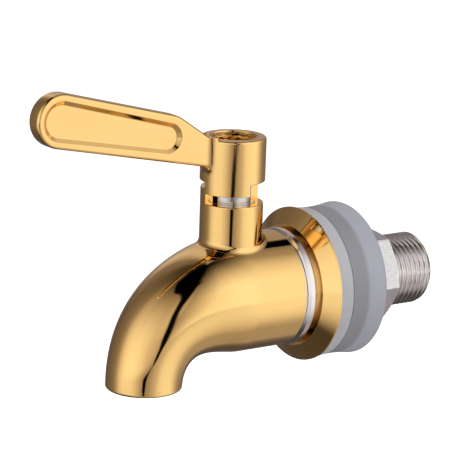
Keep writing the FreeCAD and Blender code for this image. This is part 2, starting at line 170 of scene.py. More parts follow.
def rounded(corners: Sequence[Sequence[float]], steps: int = 5, support: float = 0.06) -> np.ndarray:
    """Draw an open outline whose corners are rounded by arcs.

    An arc touches both sides of its corner at radius / tan(half the corner's angle), and a support
    point a little way along each side keeps the shading of the flats flat.

    Args:
        corners: (first, second, radius) of each corner, in mm.
        steps: spans in each arc.
        support: how far past an arc's end its support point lies, in mm.

    Returns:
        Points of the outline, as rows of two numbers.
    """
    places = np.array([c[:2] for c in corners], float)
    made = [places[:1]]
    for before, here, after, corner in zip(places, places[1:], places[2:], corners[1:]):
        radius = corner[2]
        if radius <= 0:
            made.append(here[None])
            continue
        back, ahead = before - here, after - here
        back_long, ahead_long = np.linalg.norm(back), np.linalg.norm(ahead)
        back, ahead = back / back_long, ahead / ahead_long
        half = math.acos(float(np.clip(back @ ahead, -1, 1))) / 2
        reach = radius / math.tan(half)
        middle = (back + ahead) / np.linalg.norm(back + ahead)
        centre = here + middle * radius / math.sin(half)
        first, last = here + back * reach - centre, here + ahead * reach - centre
        sweep = math.pi - 2 * half
        share = np.linspace(0, 1, steps + 1)[:, None]
        arc = swung(first, last, sweep, share)
        lead_in = here + back * min(reach + support, (reach + back_long) / 2)
        lead_out = here + ahead * min(reach + support, (reach + ahead_long) / 2)
        made += [lead_in[None], centre + arc, lead_out[None]]
    made.append(places[-1:])
    return np.concatenate(made)


def turned(profile: np.ndarray, angles: np.ndarray, axis: Axis) -> np.ndarray:
    """Sweep a profile round an axis: each point goes to (along, r cos a, r sin a) of that axis.

    Args:
        profile: rows of (along, radius), where radius may be an array over the angles.
        angles: angles of the columns, in radians.
        axis: the line to turn about.

    Returns:
        Grid of points, rows by columns by 3.
    """
    along = profile[..., 0]
    radius = profile[..., 1]
    if along.ndim == 1:
        along = np.repeat(along[:, None], len(angles), axis=1)
        radius = np.repeat(radius[:, None], len(angles), axis=1)
    first, second = radius * np.cos(angles), radius * np.sin(angles)
    if axis is Axis.SHANK:
        return np.stack([along, first, second], axis=-1)
    return np.stack([STEM_X + first, second, along], axis=-1)


def circle_angles(count: int, start: float = 0.0) -> np.ndarray:
    """Evenly spaced angles of a full turn, in radians."""
    return start + np.arange(count) * (2 * math.pi / count)


def thread_wave(phase: np.ndarray, flat: float = 1.35) -> np.ndarray:
    """Height of a thread over its turn: a triangle wave, its crest and root cut flat, from 0 to 1."""
    triangle = np.abs(2 * (phase - np.floor(phase)) - 1)
    return np.clip((triangle - 0.5) * flat + 0.5, 0, 1)


def smooth_step(value: np.ndarray) -> np.ndarray:
    """The cubic 3 v^2 - 2 v^3 of a value held between 0 and 1."""
    held = np.clip(value, 0, 1)
    return held * held * (3 - 2 * held)


def quad_faces(rows: int, columns: int, wrap: bool = False) -> np.ndarray:
    """Corners of the quads between the points of a grid, which are numbered row by row.

    Args:
        rows: rows of points.
        columns: columns of points.
        wrap: whether the last column joins the first.

    Returns:
        Rows of four point numbers.
    """
    index = np.arange(rows * columns).reshape(rows, columns)
    if wrap:
        index = np.concatenate([index, index[:, :1]], axis=1)
    quads = np.stack([index[:-1, :-1], index[1:, :-1], index[1:, 1:], index[:-1, 1:]], axis=-1)
    return quads.reshape(-1, 4)


class Shell:
    """Gathers the sheets of one piece and welds them into one closed mesh."""

    def __init__(self) -> None:
        """Start with no points and no faces."""
        self.points: list[np.ndarray] = []
        self.faces: list[list[int]] = []
        self.count = 0

    def sheet(self, grid: np.ndarray, wrap: bool = False) -> Shell:
        """Add a grid of points, with a quad between each four neighbours.

        Args:
            grid: rows by columns by 3 points, in mm.
            wrap: whether the last column joins the first.

        Returns:
            The shell itself.
        """
        rows, columns = grid.shape[:2]
        self.faces += (quad_faces(rows, columns, wrap) + self.count).tolist()
        self.points.append(grid.reshape(-1, 3))
        self.count += rows * columns
        return self

    def cap(self, ring: np.ndarray) -> Shell:
        """Close a flat ring of points with one face."""
        self.faces.append(list(range(self.count, self.count + len(ring))))
        self.points.append(ring)
        self.count += len(ring)
        return self

    def build(self, name: str, sharp_deg: float = 30.0) -> Object:
        """Weld the sheets, turn the faces outwards and make the object.

        Args:
            name: the object's name.
            sharp_deg: edges that turn more than this stay sharp.

        Returns:
            The object, with its place in its mesh.
        """
        mesh = bpy.data.meshes.new(name)
        mesh.from_pydata((np.concatenate(self.points) * MM).tolist(), [], self.faces)
        welded = bmesh.new()
        welded.from_mesh(mesh)
        bmesh.ops.remove_doubles(welded, verts=welded.verts, dist=WELD_MM * MM)
        bmesh.ops.recalc_face_normals(welded, faces=welded.faces)
        welded.to_mesh(mesh)
        welded.free()
        mesh.shade_smooth()
        mesh.set_sharp_from_angle(angle=math.radians(sharp_deg))
        return linked(name, mesh)


def settle(piece: Object, body: Body, material: Material,
           nodes: Sequence[str]) -> Object:
    """Dress a piece, let it ride on its body and stand for its CAD nodes.

    Args:
        piece: the finished object.
        body: the body it moves with.
        material: the material it is dressed in.
        nodes: the CAD nodes it stands for.

    Returns:
        The same object.
    """
    piece.data.materials.clear()
    piece.data.materials.append(material)
    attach(piece, body.value)
    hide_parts(*nodes)
    LOG.info("%s: %d faces on body %s", piece.name, len(piece.data.polygons), body.value)
    return piece


@dataclass(frozen=True)
class Finish:
    """A surface: its colour, its shine, and a fine grain that bends the shading.

    The patches of its second tone and the grain are noises, each scaled to a real size.
    """

    name: str
    colour: str
    second: str = ""  # the second tone, if it has one
    roughness: float = 0.4
    metallic: float = 0.0
    patch_mm: float = 12.0
    patch_detail: float = 2.0
    patch_roughness: float = 0.5
    grain_mm: float = 0.4
    grain_height_mm: float = 0.004
    grain_detail: float = 2.0
    grain_roughness: float = 0.6
    glow_mm: float = 0.0  # how far light spreads inside
    glow_weight: float = 0.25

    def grain(self, tree: NodeTree, place: NodeSocket) -> NodeSocket:
        """Height of the grain, from 0 to 1."""
        noise = add_node(tree, "ShaderNodeTexNoise", {
            "Vector": place, "Scale": 1 / (self.grain_mm * MM), "Detail": self.grain_detail,
            "Roughness": self.grain_roughness})
        return noise.outputs["Fac"]

    def tone(self, tree: NodeTree, place: NodeSocket, grain: NodeSocket) -> NodeSocket | tuple[float, ...]:
        """Colour of the surface, plain or as a mix of two tones in soft patches.

        Args:
            tree: the material's tree.
            place: object coordinates.
            grain: height of the grain.

        Returns:
            A linear colour or a socket that gives it.
        """
        if not self.second:
            return linear(self.colour)
        patches = add_node(tree, "ShaderNodeTexNoise", {
            "Vector": place, "Scale": 1 / (self.patch_mm * MM), "Detail": self.patch_detail,
            "Roughness": self.patch_roughness})
        mix = add_node(tree, "ShaderNodeMix", {
            FACTOR: patches.outputs["Fac"], FIRST: linear(self.colour),
            SECOND: linear(self.second)}, data_type="RGBA")
        return mix.outputs[2]

    def material(self) -> Material:
        """Make the material.

        Returns:
            A material with one principled shader.
        """
        material = bpy.data.materials.new(self.name)
        tree = blank_tree(material)
        place = add_node(tree, "ShaderNodeTexCoord").outputs["Object"]
        grain = self.grain(tree, place)
        bump = add_node(tree, "ShaderNodeBump", {
            "Strength": 1.0, "Distance": self.grain_height_mm * MM, "Height": grain})
        inputs = {"Base Color": self.tone(tree, place, grain), "Metallic": self.metallic,
                  "Roughness": self.roughness, "Normal": bump.outputs["Normal"]}
        if self.glow_mm:
            inputs |= {"Subsurface Weight": self.glow_weight, "Subsurface Scale": self.glow_mm * MM}
        shader = add_node(tree, "ShaderNodeBsdfPrincipled", inputs)
        add_node(tree, "ShaderNodeOutputMaterial", {"Surface": shader.outputs[0]})
        return material


@dataclass(frozen=True)
class GoldCoating(Finish):
    """Gold-coloured vapour-deposited coating on cast, buffed stainless steel.

    Buffing leaves a near-mirror whose reflections swim a little over the waves of the casting.
    """

    name: str = "gold_vapour_coating_on_buffed_cast_steel"
    colour: str = "#FDD48C"
    second: str = "#F9CC80"
    roughness: float = 0.055
    metallic: float = 1.0
    patch_mm: float = 9.0  # patches where the coating is a little deeper
    grain_mm: float = 5.0  # waves left by buffing the casting
    grain_detail: float = 1.0
    grain_roughness: float = 0.4


@dataclass(frozen=True)
class TurnedSteel(Finish):
    """Stainless steel turned on a lathe: fine rings round the axis stretch each highlight across them."""

    name: str = "turned_stainless_steel"
    colour: str = "#EAE5E3"
    roughness: float = 0.15
    metallic: float = 1.0
    grain_mm: float = 0.35  # the tool's feed marks, drawn coarser than they are so that they show
    grain_detail: float = 3.0
    axis: Axis = Axis.SHANK

    def grain(self, tree: NodeTree, place: NodeSocket) -> NodeSocket:
        """Height of the rings: a noise that changes only along the axis."""
        along = (1.0, 0.0, 0.0) if self.axis is Axis.SHANK else (0.0, 0.0, 1.0)
        rings = add_node(tree, "ShaderNodeMapping", {"Vector": place, "Scale": along})
        return Finish.grain(self, tree, rings.outputs[0])


@dataclass(frozen=True)
class CastSteel(Finish):
    """Stainless steel left as it was cast and tumbled: a fine pebbled skin that sparkles. Its two colours
    are painted highlight on the pebbles' tops and painted shade between them.
    """

    name: str = "tumbled_cast_stainless_steel"
    colour: str = "#E6E3E4"
    second: str = "#C8C4C4"
    roughness: float = 0.34
    metallic: float = 1.0
    grain_mm: float = 0.32
    grain_height_mm: float = 0.014
    grain_detail: float = 3.0
    shade_and_highlight_heights: tuple[float, float] = (0.3, 0.62)  # heights below which the pebbles are all painted shade and above which all painted highlight

    def tone(self, tree: NodeTree, place: NodeSocket, grain: NodeSocket) -> NodeSocket:
        """Painted highlight on the pebbles' tops and painted shade between them."""
        ramp = add_node(tree, "ShaderNodeValToRGB", {"Fac": grain})
        # painted shade in the hollows between pebbles, painted highlight on their tops
        for stop, height, colour in zip(ramp.color_ramp.elements, self.shade_and_highlight_heights, (self.second, self.colour)):
            stop.position, stop.color = height, linear(colour)
        return ramp.outputs["Color"]


@dataclass(frozen=True)
class SiliconeWithPaintedWaistShade(Finish):
    """Moulded silicone of the inner washer, with painted shade that colours it darker round the waist, next
    to the outer washer.
    """

    # painted shade: a darker colour on the waist stands in for the shade next to the outer washer
    painted_waist_shade: str = "#88878C"
    waist_end_x: float = 3.6
    waist_fade: float = 1.4

    def tone(self, tree: NodeTree, place: NodeSocket, grain: NodeSocket) -> NodeSocket:
        """The painted shade on the waist up to its end along the shank, and the other tones past it."""
        apart = add_node(tree, "ShaderNodeSeparateXYZ", {0: place})
        past = add_node(tree, "ShaderNodeMapRange", {
            "Value": apart.outputs["X"], "From Min": self.waist_end_x * MM,
            "From Max": self.waist_end_x * MM + self.waist_fade * MM}, interpolation_type="SMOOTHSTEP")
        band = add_node(tree, "ShaderNodeMix", {
            FACTOR: past.outputs[0], FIRST: linear(self.painted_waist_shade),
            SECOND: Finish.tone(self, tree, place, grain)}, data_type="RGBA")
        return band.outputs[2]


@dataclass
class SpoutBody:
    """The casting: barrel, bent tapering spout, neck and the stop on the neck's rim."""

    barrel_r: float = 13.2
    rear_x: float = -10.17
    rear_chamfer: float = 0.3
    bend_offset: float = 0.3  # from the stem's axis to where the spout starts to bend
    bend_handle: float = 5.1  # the curve's handle along the barrel
    drop_handle: float = 17.6  # and the one above the mouth
    mouth_reach: float = 22.0
    mouth_z: float = -18.8
    mouth_r: float = 8.55
    taper_r: float = 8.75  # third of the radius's four values
    wall: float = 1.7
    lip_r: float = 0.6
    neck_r: float = 7.06
    neck_top: float = 21.35
    fillet_r: float = 1.8
    rim_r: float = 0.25
    stop_top: float = 24.8
    stop_rim_r: float = 0.45
    bore_r: float = 5.1
    packing_z: float = 14.0
    stem_bore_r: float = 3.05
    bore_end_z: float = 10.1
    throat_share: float = 0.45  # of the bend, where the hollow narrows to the waterway
    throat_r: float = 5.2
    throat_gap: float = 1.0  # from the narrowest ring to its neighbours
    water_r: float = 4.2
    pocket_front_x: float = -30.1  # the pocket of the ball and its seats
    pocket_rear_x: float = -14.9
    pocket_r: float = 8.05
    nose_r: float = 9.65
    ring_pocket_x: float = -11.97
    ring_pocket_r: float = 11.2
    patch_rear_x: float = -12.0  # the patch of skin round the neck, from here
    patch_share: float = 0.4  # to this share of the bend
    patch_half_turn: float = math.radians(62)
    patch_rows: int = 48
    patch_columns: int = 40
    patch_spans: int = 14  # between the patch's border and the fillet
    under_columns: int = 60
    skin_rings: int = 90
    hollow_rings: int = 40
    rear_rings: int = 6
    rear_gap: float = 0.1  # from the rear chamfer to the skin's first ring
    newton_steps: int = 12
    newton_share: float = 0.5  # of the bend, past which no first guess lies

    @property
    def bend_x(self) -> float:
        """Where the spout starts to bend."""
        return STEM_X - self.bend_offset

    @property
    def bend_run(self) -> float:
        """Length of the bend in the running parameter, which moves 1 mm per unit at its start."""
        return 3 * self.bend_handle

    def station(self, run: np.ndarray) -> tuple[np.ndarray, np.ndarray, np.ndarray]:
        """Centre, direction and radius of the skin.

        Below 0 the run is along the barrel. Above it the centre line is a cubic Bezier curve from
        the barrel's axis to the mouth's, and the radius a cubic in the same parameter.

        Args:
            run: positions along the skin, of any shape.

        Returns:
            Points and directions with a last axis of 3, and radii.
        """
        t = np.clip(run / self.bend_run, 0, 1)[..., None]
        u = 1 - t
        start = np.array([self.bend_x, 0, 0])
        end = np.array([STEM_X - self.mouth_reach, 0, self.mouth_z])
        one, two = start - [self.bend_handle, 0, 0], end + [0, 0, self.drop_handle]
        point = start * u**3 + one * 3 * u * u * t + two * 3 * u * t * t + end * t**3
        point[..., 0] += np.maximum(-run, 0)
        slope = (one - start) * u * u + (two - one) * 2 * u * t + (end - two) * t * t
        slope = slope / np.linalg.norm(slope, axis=-1, keepdims=True)
        radius = self.barrel_r * (u**3 + 3 * u * u * t) + self.taper_r * 3 * u * t * t + self.mouth_r * t**3
        return point, slope, radius[..., 0]

    @staticmethod
    def ring(point: np.ndarray, slope: np.ndarray, radius: np.ndarray, turn: np.ndarray) -> np.ndarray:
        """Points at the centre plus radius (cos turn upwards + sin turn sideways) across the direction."""
        upwards = np.stack([slope[..., 2], np.zeros_like(slope[..., 0]), -slope[..., 0]], axis=-1)
        sideways = np.array([0.0, 1.0, 0.0])
        round_part = np.cos(turn)[..., None] * upwards + np.sin(turn)[..., None] * sideways
        return point + radius[..., None] * round_part

    def skin(self, run: np.ndarray, turn: np.ndarray) -> np.ndarray:
        """Points of the outer skin at a run along it and a turn round it."""
        point, slope, radius = self.station(run)
        return self.ring(point, slope, radius, turn)

    def normal(self, run: np.ndarray, turn: np.ndarray) -> np.ndarray:
        """Outward unit normals of the skin, from central differences along and round it."""
        step = DIFFERENCE_STEP
        along = self.skin(run + step, turn) - self.skin(run - step, turn)
        around = self.skin(run, turn + step) - self.skin(run, turn - step)
        across = np.cross(along, around)
        across /= np.linalg.norm(across, axis=-1, keepdims=True)
        centre = self.station(run)[0]
        outwards = np.sign(((self.skin(run, turn) - centre) * across).sum(-1, keepdims=True))
        return across * outwards

    def fillet_feet(self, angle: np.ndarray) -> tuple[np.ndarray, np.ndarray, np.ndarray]:
        """Find where a ball of the fillet's radius, rolled round the neck, touches the skin.

        The ball's centre is one fillet radius off the neck and off the skin, so skin + radius x
        normal has to lie over the circle neck_r + fillet_r, which Newton steps solve for every
        angle at once.

        Args:
            angle: angles round the neck.

        Returns:
            Run and turn of the touching points, and the ball's centres.
        """
        reach = self.neck_r + self.fillet_r
        target = np.stack([STEM_X + reach * np.cos(angle), reach * np.sin(angle)], axis=-1)
        run, turn = self.bend_x - target[:, 0], np.arcsin(target[:, 1] / (self.barrel_r + self.fillet_r))
        run = np.clip(run, -self.bend_run, self.bend_run * self.newton_share)

        def centre(r: np.ndarray, v: np.ndarray) -> np.ndarray:
            """The ball's centre over a run and a turn."""
            return self.skin(r, v) + self.fillet_r * self.normal(r, v)

        step = DIFFERENCE_STEP
        for _ in range(self.newton_steps):
            miss = centre(run, turn)[:, :2] - target
            by_run = (centre(run + step, turn) - centre(run - step, turn))[:, :2] / (2 * step)
            by_turn = (centre(run, turn + step) - centre(run, turn - step))[:, :2] / (2 * step)
            slopes = np.stack([by_run, by_turn], axis=-1)
            move = np.linalg.solve(slopes, miss[..., None])[..., 0]
            run, turn = run - move[:, 0], turn - move[:, 1]
        return run, turn, centre(run, turn)

    def turns_over(self) -> np.ndarray:
        """Turns of the patch's columns."""
        return np.linspace(-self.patch_half_turn, self.patch_half_turn, self.patch_columns + 1)

    def turns_under(self) -> np.ndarray:
        """Turns of the columns that pass under the body from one side of the patch to the other."""
        return np.linspace(self.patch_half_turn, 2 * math.pi - self.patch_half_turn, self.under_columns + 1)

    def patch_runs(self) -> np.ndarray:
        """Runs of the patch's rows."""
        rear, front = self.bend_x - self.patch_rear_x, self.bend_run * self.patch_share
        return np.linspace(rear, front, self.patch_rows + 1)

    def patch_border(self) -> tuple[np.ndarray, np.ndarray]:
        """Run and turn of the points round the border of the patch, counted as the neck's angle grows."""
        along, across = self.patch_runs(), self.turns_over()
        run = np.concatenate([np.full(self.patch_columns, along[0]), along[:-1],
                              np.full(self.patch_columns, along[-1]), along[:0:-1]])
        turn = np.concatenate([across[:-1], np.full(self.patch_rows, across[-1]),
                               across[:0:-1], np.full(self.patch_rows, across[0])])
        return run, turn

    def neck(self) -> np.ndarray:
        """The patch of skin, the fillet, the neck, its rim with the stop, and its bore, as one grid.

        A row of the patch is a mix, in run and turn, of its border and of the line where the
        fillet touches the skin. A row of the fillet is an arc about the rolled ball's centre. The
        stop's end walls are two columns at one angle, one at the rim's height and one at the stop's.

        Returns:
            Grid of points.
        """
        border_run, border_turn = self.patch_border()
        over = self.skin(border_run, border_turn)
        angle = np.unwrap(np.arctan2(over[:, 1], over[:, 0] - STEM_X))
        rear_mid = self.patch_columns // 2
        front_mid = self.patch_columns + self.patch_rows + rear_mid
        angle[rear_mid], angle[front_mid] = 0.0, math.pi
        foot_run, foot_turn, centre = self.fillet_feet(angle)
        count = len(angle)
        columns = np.concatenate([np.arange(rear_mid + 1), np.arange(rear_mid, front_mid + 1),
                                  np.arange(front_mid, count)])
        on_stop = np.concatenate([np.zeros(rear_mid + 1), np.ones(front_mid - rear_mid + 1),
                                  np.zeros(count - front_mid)]) > 0
        mix = smooth_step(np.linspace(0, 1, self.patch_spans + 1))[:, None]
        patch = self.skin(border_run + (foot_run - border_run) * mix,
                          border_turn + (foot_turn - border_turn) * mix)
        foot = np.stack([centre[:, 2], np.full_like(angle, self.neck_r)], axis=-1)
        side = turned(foot[None], angle, Axis.STEM)[0]
        arc = fillet_arc(centre, self.skin(foot_run, foot_turn) - centre, side - centre, self.fillet_r)
        lower = np.concatenate([patch, arc[1:]])[:, columns]

        foot_z = centre[columns, 2]
        wall_share = np.array([0.04, 0.3, 0.6, 1.0])[:, None]  # rows of the neck's side
        wall_end = self.neck_top - 2 * self.rim_r
        wall_z = foot_z + (wall_end - foot_z) * wall_share
        rims = [rounded([(self.neck_r, top - 2 * rim_r, 0), (self.neck_r, top, rim_r),
                         (self.bore_r, top, rim_r), (self.bore_r, wall_end, 0),
                         (self.bore_r, self.packing_z, 0), (self.stem_bore_r, self.packing_z, 0),
                         (self.stem_bore_r, self.bore_end_z, 0)])
                for top, rim_r in ((self.neck_top, self.rim_r), (self.stop_top, self.stop_rim_r))]
        rim = np.where(on_stop[None, :, None], rims[1][:, None], rims[0][:, None])
        wall = np.stack([np.full_like(wall_z, self.neck_r), wall_z], axis=-1)
        upper = np.concatenate([wall, rim])[..., ::-1]
        return np.concatenate([lower, turned(upper, angle[columns], Axis.STEM)])

    def tube(self, run: np.ndarray, turn: np.ndarray, inset: float = 0.0) -> np.ndarray:
        """Rings of the skin, or of the hollow one wall inside it."""
        point, slope, radius = self.station(run)
        return self.ring(point[:, None], slope[:, None], (radius - inset)[:, None], turn[None])

    def mouth(self, turn: np.ndarray) -> np.ndarray:
        """The mouth's rounded lip, as rings about the mouth's axis."""
        inner = self.mouth_r - self.wall
        lip = rounded([(self.mouth_r, -2 * self.lip_r, 0), (self.mouth_r, 0, self.lip_r),
                       (inner, 0, self.lip_r / 2), (inner, -2 * self.lip_r, 0)])
        point, slope, _ = self.station(np.full(len(lip), self.bend_run))
        point = point + slope * lip[:, 1:]
        return self.ring(point[:, None], slope[:, None], lip[:, :1], turn[None])

    def build(self) -> Object:
        """Weld the tube, its hollow and the neck into one body.

        Returns:
            The finished object.
        """
        under, along = self.turns_under(), self.patch_runs()
        turns = np.concatenate([self.turns_over(), under[1:-1]])
        rear_end = self.bend_x - self.rear_x + self.rear_chamfer
        mouth_start = self.bend_run * (1 - 2 * self.lip_r / (3 * self.drop_handle))
        throat_run = self.bend_run * self.throat_share
        throat, slope, _ = self.station(np.array([throat_run]))
        rear = np.array([
            (throat[0, 0] + self.throat_gap, self.water_r), (self.pocket_front_x, self.water_r),
            (self.pocket_front_x, self.pocket_r), (self.pocket_rear_x, self.pocket_r),
            (self.pocket_rear_x, self.nose_r), (self.ring_pocket_x, self.nose_r),
            (self.ring_pocket_x, self.ring_pocket_r), (self.rear_x, self.ring_pocket_r),
            (self.rear_x, self.barrel_r - self.rear_chamfer),
            (self.rear_x - self.rear_chamfer, self.barrel_r)])
        flat = np.tile([-1.0, 0.0, 0.0], (len(rear), 1))
        centres = np.stack([rear[:, 0], np.zeros(len(rear)), np.zeros(len(rear))], axis=-1)
        rear_rings = self.ring(centres[:, None], flat[:, None], rear[:, 1:], turns[None])
        throat_ring = self.ring(throat[:, None], slope[:, None], np.array([[self.throat_r]]), turns[None])
        rear_skin = self.tube(np.linspace(rear_end + self.rear_gap, along[0], self.rear_rings), turns)
        hollow_end = throat_run + self.throat_gap
        hollow = self.tube(np.linspace(mouth_start, hollow_end, self.hollow_rings), turns, self.wall)
        front_skin = self.tube(np.linspace(along[-1], mouth_start, self.skin_rings), turns)
        neck, lip = self.neck(), self.mouth(turns)
        round_all = np.concatenate([front_skin, lip, hollow, throat_ring, rear_rings, rear_skin])
        shell = Shell().sheet(round_all, wrap=True).sheet(self.tube(along, under)).sheet(neck, wrap=True)
        return shell.cap(neck[-1]).build("spout_body_cast")


@dataclass
class Lever:
    """The lever: hub with its hanging skirt and threaded socket, and the flat recessed paddle."""

    hub_r: float = 7.32
    bottom_z: float = 26.25
    top_z: float = 36.2
    top_fillet: float = 0.5
    bottom_fillet: float = 0.2
    skirt_drop: float = 2.6
    skirt_edge: float = 0.12
    skirt_inner_r: float = 4.9
    skirt_from_deg: float = 181.0
    skirt_to_deg: float = 269.0
    skirt_columns: int = 40
    open_columns: int = 100
    web_bottom_z: float = 27.0
    web_top_z: float = 30.0
    well_r: float = 4.3
    socket_r: float = 5.25
    socket_depth: float = 3.3
    socket_lead: float = 0.3  # height of the cone at the socket's mouth
    socket_flare: float = 0.15  # how much wider that cone is at the top
    socket_edge: float = 0.08
    thread_rows: int = 48
    thread_gap: float = 0.1  # from the top to where the thread starts to grow
    thread_growth: float = 0.5  # depth over which it grows
    thread_depth: float = 0.45
    thread_pitch: float = 1.0
    paddle_half_t: float = 2.1
    tip: tuple[float, float] = (-45.08, 43.45)
    tip_r: float = 5.95
    root: tuple[float, float] = (-18.4, 37.5)
    root_r: float = 5.28
    shoulder: tuple[float, float] = (-15.66, 42.22)
    meeting: tuple[float, float] = (-6.75, 36.2)
    foot: tuple[float, float] = (-6.2, 29.7)
    knee_r: float = 6.0
    inner_r: float = 0.8  # at the two corners inside the hub
    tip_points: int = 60  # along each half of the tip
    knee_spans: int = 10
    rim_points: int = 420
    edge_r: float = 0.75
    edge_spans: int = 6
    fillet_r: float = 2.5  # between the paddle's root and the hub
    fillet_depth: float = 1.1  # how far the fillet's hidden back lies inside both
    fillet_top: float = 6.4  # how far the fillet climbs from the paddle's lower edge
    corner_spans: int = 8  # round each of the root's lower corners
    recess_tip_r: float = 4.5
    recess_root_r: float = 3.45
    recess_depth: float = 0.8
    recess_slope: float = 0.98  # width of the slope
    recess_lead: float = 0.5  # width of the flat before the slope
    recess_edge: float = 0.25
    recess_corner: float = 0.4
    recess_spans: int = 6
    floor_inset: float = 0.9  # from the slope to the floor's cap
    border_points: int = 6000
    face_rings: int = 60
    face_power: float = 1.5  # the higher, the closer the rings lie to the rim

    def hub(self, shell: Shell) -> None:
        """Add the hub: a turned profile whose bottom drops to the skirt's between two angles.

        The skirt's end walls are two columns at one angle. The socket's thread is a wave in the
        radius whose phase is height / pitch - angle / full turn.
        """
        start, stop = math.radians(self.skirt_from_deg), math.radians(self.skirt_to_deg)
        on_skirt = np.linspace(start, stop, self.skirt_columns)
        off_skirt = np.linspace(stop, start + 2 * math.pi, self.open_columns)
        angles = np.concatenate([on_skirt, off_skirt])
        hanging = np.concatenate([np.ones(len(on_skirt)), np.zeros(len(off_skirt))]) > 0
        drop_z = self.bottom_z - self.skirt_drop
        socket_z = self.top_z - self.socket_depth
        lead_z = self.top_z - self.socket_lead
        side = self.bottom_z + 2 * self.bottom_fillet
        wells = [rounded([(AXIS_GAP, self.web_bottom_z, 0), (self.skirt_inner_r, self.web_bottom_z, 0),
                          (self.skirt_inner_r, low, edge), (self.hub_r, low, fillet), (self.hub_r, side, 0),
                          (self.hub_r, self.top_z, self.top_fillet),
                          (self.socket_r + self.socket_flare, self.top_z, self.socket_edge),
                          (self.socket_r, lead_z, 0)])
                 for low, edge, fillet in ((self.bottom_z, self.skirt_edge, self.bottom_fillet),
                                           (drop_z, self.skirt_edge, self.skirt_edge))]
        outside = np.where(hanging[None, :, None], wells[1][:, None], wells[0][:, None])
        z = np.linspace(lead_z, socket_z, self.thread_rows)[:, None]
        fade = smooth_step((z - socket_z) / self.socket_lead)
        fade = fade * smooth_step((self.top_z - self.thread_gap - z) / self.thread_growth)
        wave = thread_wave(z / self.thread_pitch - angles / (2 * math.pi))
        thread_r = self.socket_r - self.thread_depth * wave * fade
        thread = np.stack([thread_r, np.broadcast_to(z, thread_r.shape)], axis=-1)
        floor = np.array([(self.well_r, socket_z), (self.well_r, self.web_top_z),
                          (AXIS_GAP, self.web_top_z)])
        inside = np.repeat(floor[:, None], len(angles), axis=1)
        profile = np.concatenate([outside, thread, inside])[..., ::-1]
        grid = turned(profile, angles, Axis.STEM)
        shell.sheet(grid, wrap=True).cap(grid[0]).cap(grid[-1])

    def tangents(self, tip_r: float, root_r: float) -> tuple[float, float, float]:
        """Angles on two circles about the paddle's tip and root, between which its outlines run.

        Args:
            tip_r: the circle's radius at the tip.
            root_r: the one at the root.

        Returns:
            The angle of the tip's far end, and those of the upper and the lower tangent.
        """
        run, drop = self.root[0] - self.tip[0], self.tip[1] - self.root[1]
        lean, taper = math.atan2(drop, run), math.asin((tip_r - root_r) / math.hypot(run, drop))
        return math.pi - lean, math.pi / 2 - lean - taper, -math.pi / 2 - lean + taper

    def recess_border(self) -> np.ndarray:
        """Outline of the recess: two arcs about the paddle's tip and root, joined by their tangents.

        Returns:
            Closely spaced points (x from the stem's axis, z).
        """
        end, up, down = self.tangents(self.recess_tip_r, self.recess_root_r)
        spacing = self.border_points // 4
        tip_arc = arc_points(self.tip, self.recess_tip_r, end, up, spacing)
        root_arc = arc_points(self.root, self.recess_root_r, up, down, spacing)
        tip_back = arc_points(self.tip, self.recess_tip_r, down, end - 2 * math.pi, spacing)
        return resampled(np.concatenate([tip_arc, root_arc, tip_back]), self.border_points)

    def rim(self) -> np.ndarray:
        """Outline of the whole paddle, from the tip's far end over the top to the hub and back below.

        Returns:
            Evenly spaced points (x from the stem's axis, z).
        """
        end, up, down = self.tangents(self.tip_r, self.root_r)
        tip_arc = arc_points(self.tip, self.tip_r, end, up, self.tip_points)
        tip_back = arc_points(self.tip, self.tip_r, down, end - 2 * math.pi, self.tip_points)
        side = rounded([(*tip_arc[-1], 0), (*self.shoulder, self.knee_r), (*self.meeting, self.inner_r),
                        (*self.foot, self.inner_r), (*self.root_low(), 0), (*tip_back[0], 0)],
                       steps=self.knee_spans)
        return resampled(np.concatenate([tip_arc, side[1:-1], tip_back]), self.rim_points)

    def root_low(self) -> np.ndarray:
        """Where the paddle's lower edge leaves the circle about its root."""
        down = self.tangents(self.tip_r, self.root_r)[2]
        return arc_points(self.root, self.root_r, down, down, 1)[0]

    def root_fillet(self, shell: Shell) -> None:
        """Add the fillet between the paddle's root and the hub, as a rolled ball leaves it.

        Across its length the root is a U: down the near face, round the lower edge and up the far
        face. The ball's centre is one fillet radius off the U and off the hub, so it lies over the
        circle hub_r + fillet_r. The fillet is the arc about that centre from the paddle to the
        hub, closed by points inside both.
        """
        low, foot = self.root_low(), np.array(self.foot)
        along = (foot - low) / np.linalg.norm(foot - low)
        down = np.array([along[1], -along[0]])
        flat, edge = self.paddle_half_t - self.edge_r, self.edge_r
        turn = np.linspace(0, math.pi / 2, self.corner_spans + 1)
        corner = np.stack([-flat - edge * np.cos(turn), -edge + edge * np.sin(turn),
                           -np.cos(turn), np.sin(turn)], axis=-1)
        side = np.array([(-flat - edge, -self.fillet_top, -1, 0)])
        half = np.concatenate([side, corner])
        section = np.concatenate([half, (half * [-1, 1, -1, 1])[::-1]])
        across, depth, out_across, out_depth = section.T
        centre_y = across + self.fillet_r * out_across
        centre_x = -np.sqrt((self.hub_r + self.fillet_r) ** 2 - centre_y**2)
        sunk = depth + self.fillet_r * out_depth
        run = (centre_x - foot[0] - sunk * down[0]) / along[0]
        centre_z = foot[1] + sunk * down[1] + run * along[1]
        centre = np.stack([centre_x, centre_y, centre_z], axis=-1)
        outwards = np.stack([out_depth * down[0], out_across, out_depth * down[1]], axis=-1)
        shrunk = self.hub_r / (self.hub_r + self.fillet_r)
        at_hub = centre * [shrunk, shrunk, 1]
        arc = fillet_arc(centre, -self.fillet_r * outwards, at_hub - centre, self.fillet_r)
        sunk_share = 1 - self.fillet_depth / self.hub_r
        in_paddle, in_hub = arc[0] - self.fillet_depth * outwards, arc[-1] * [sunk_share, sunk_share, 1]
        loops = np.concatenate([arc, in_hub[None], in_paddle[None]]).transpose(1, 0, 2) + [STEM_X, 0, 0]
        shell.sheet(loops, wrap=True).cap(loops[0]).cap(loops[-1])

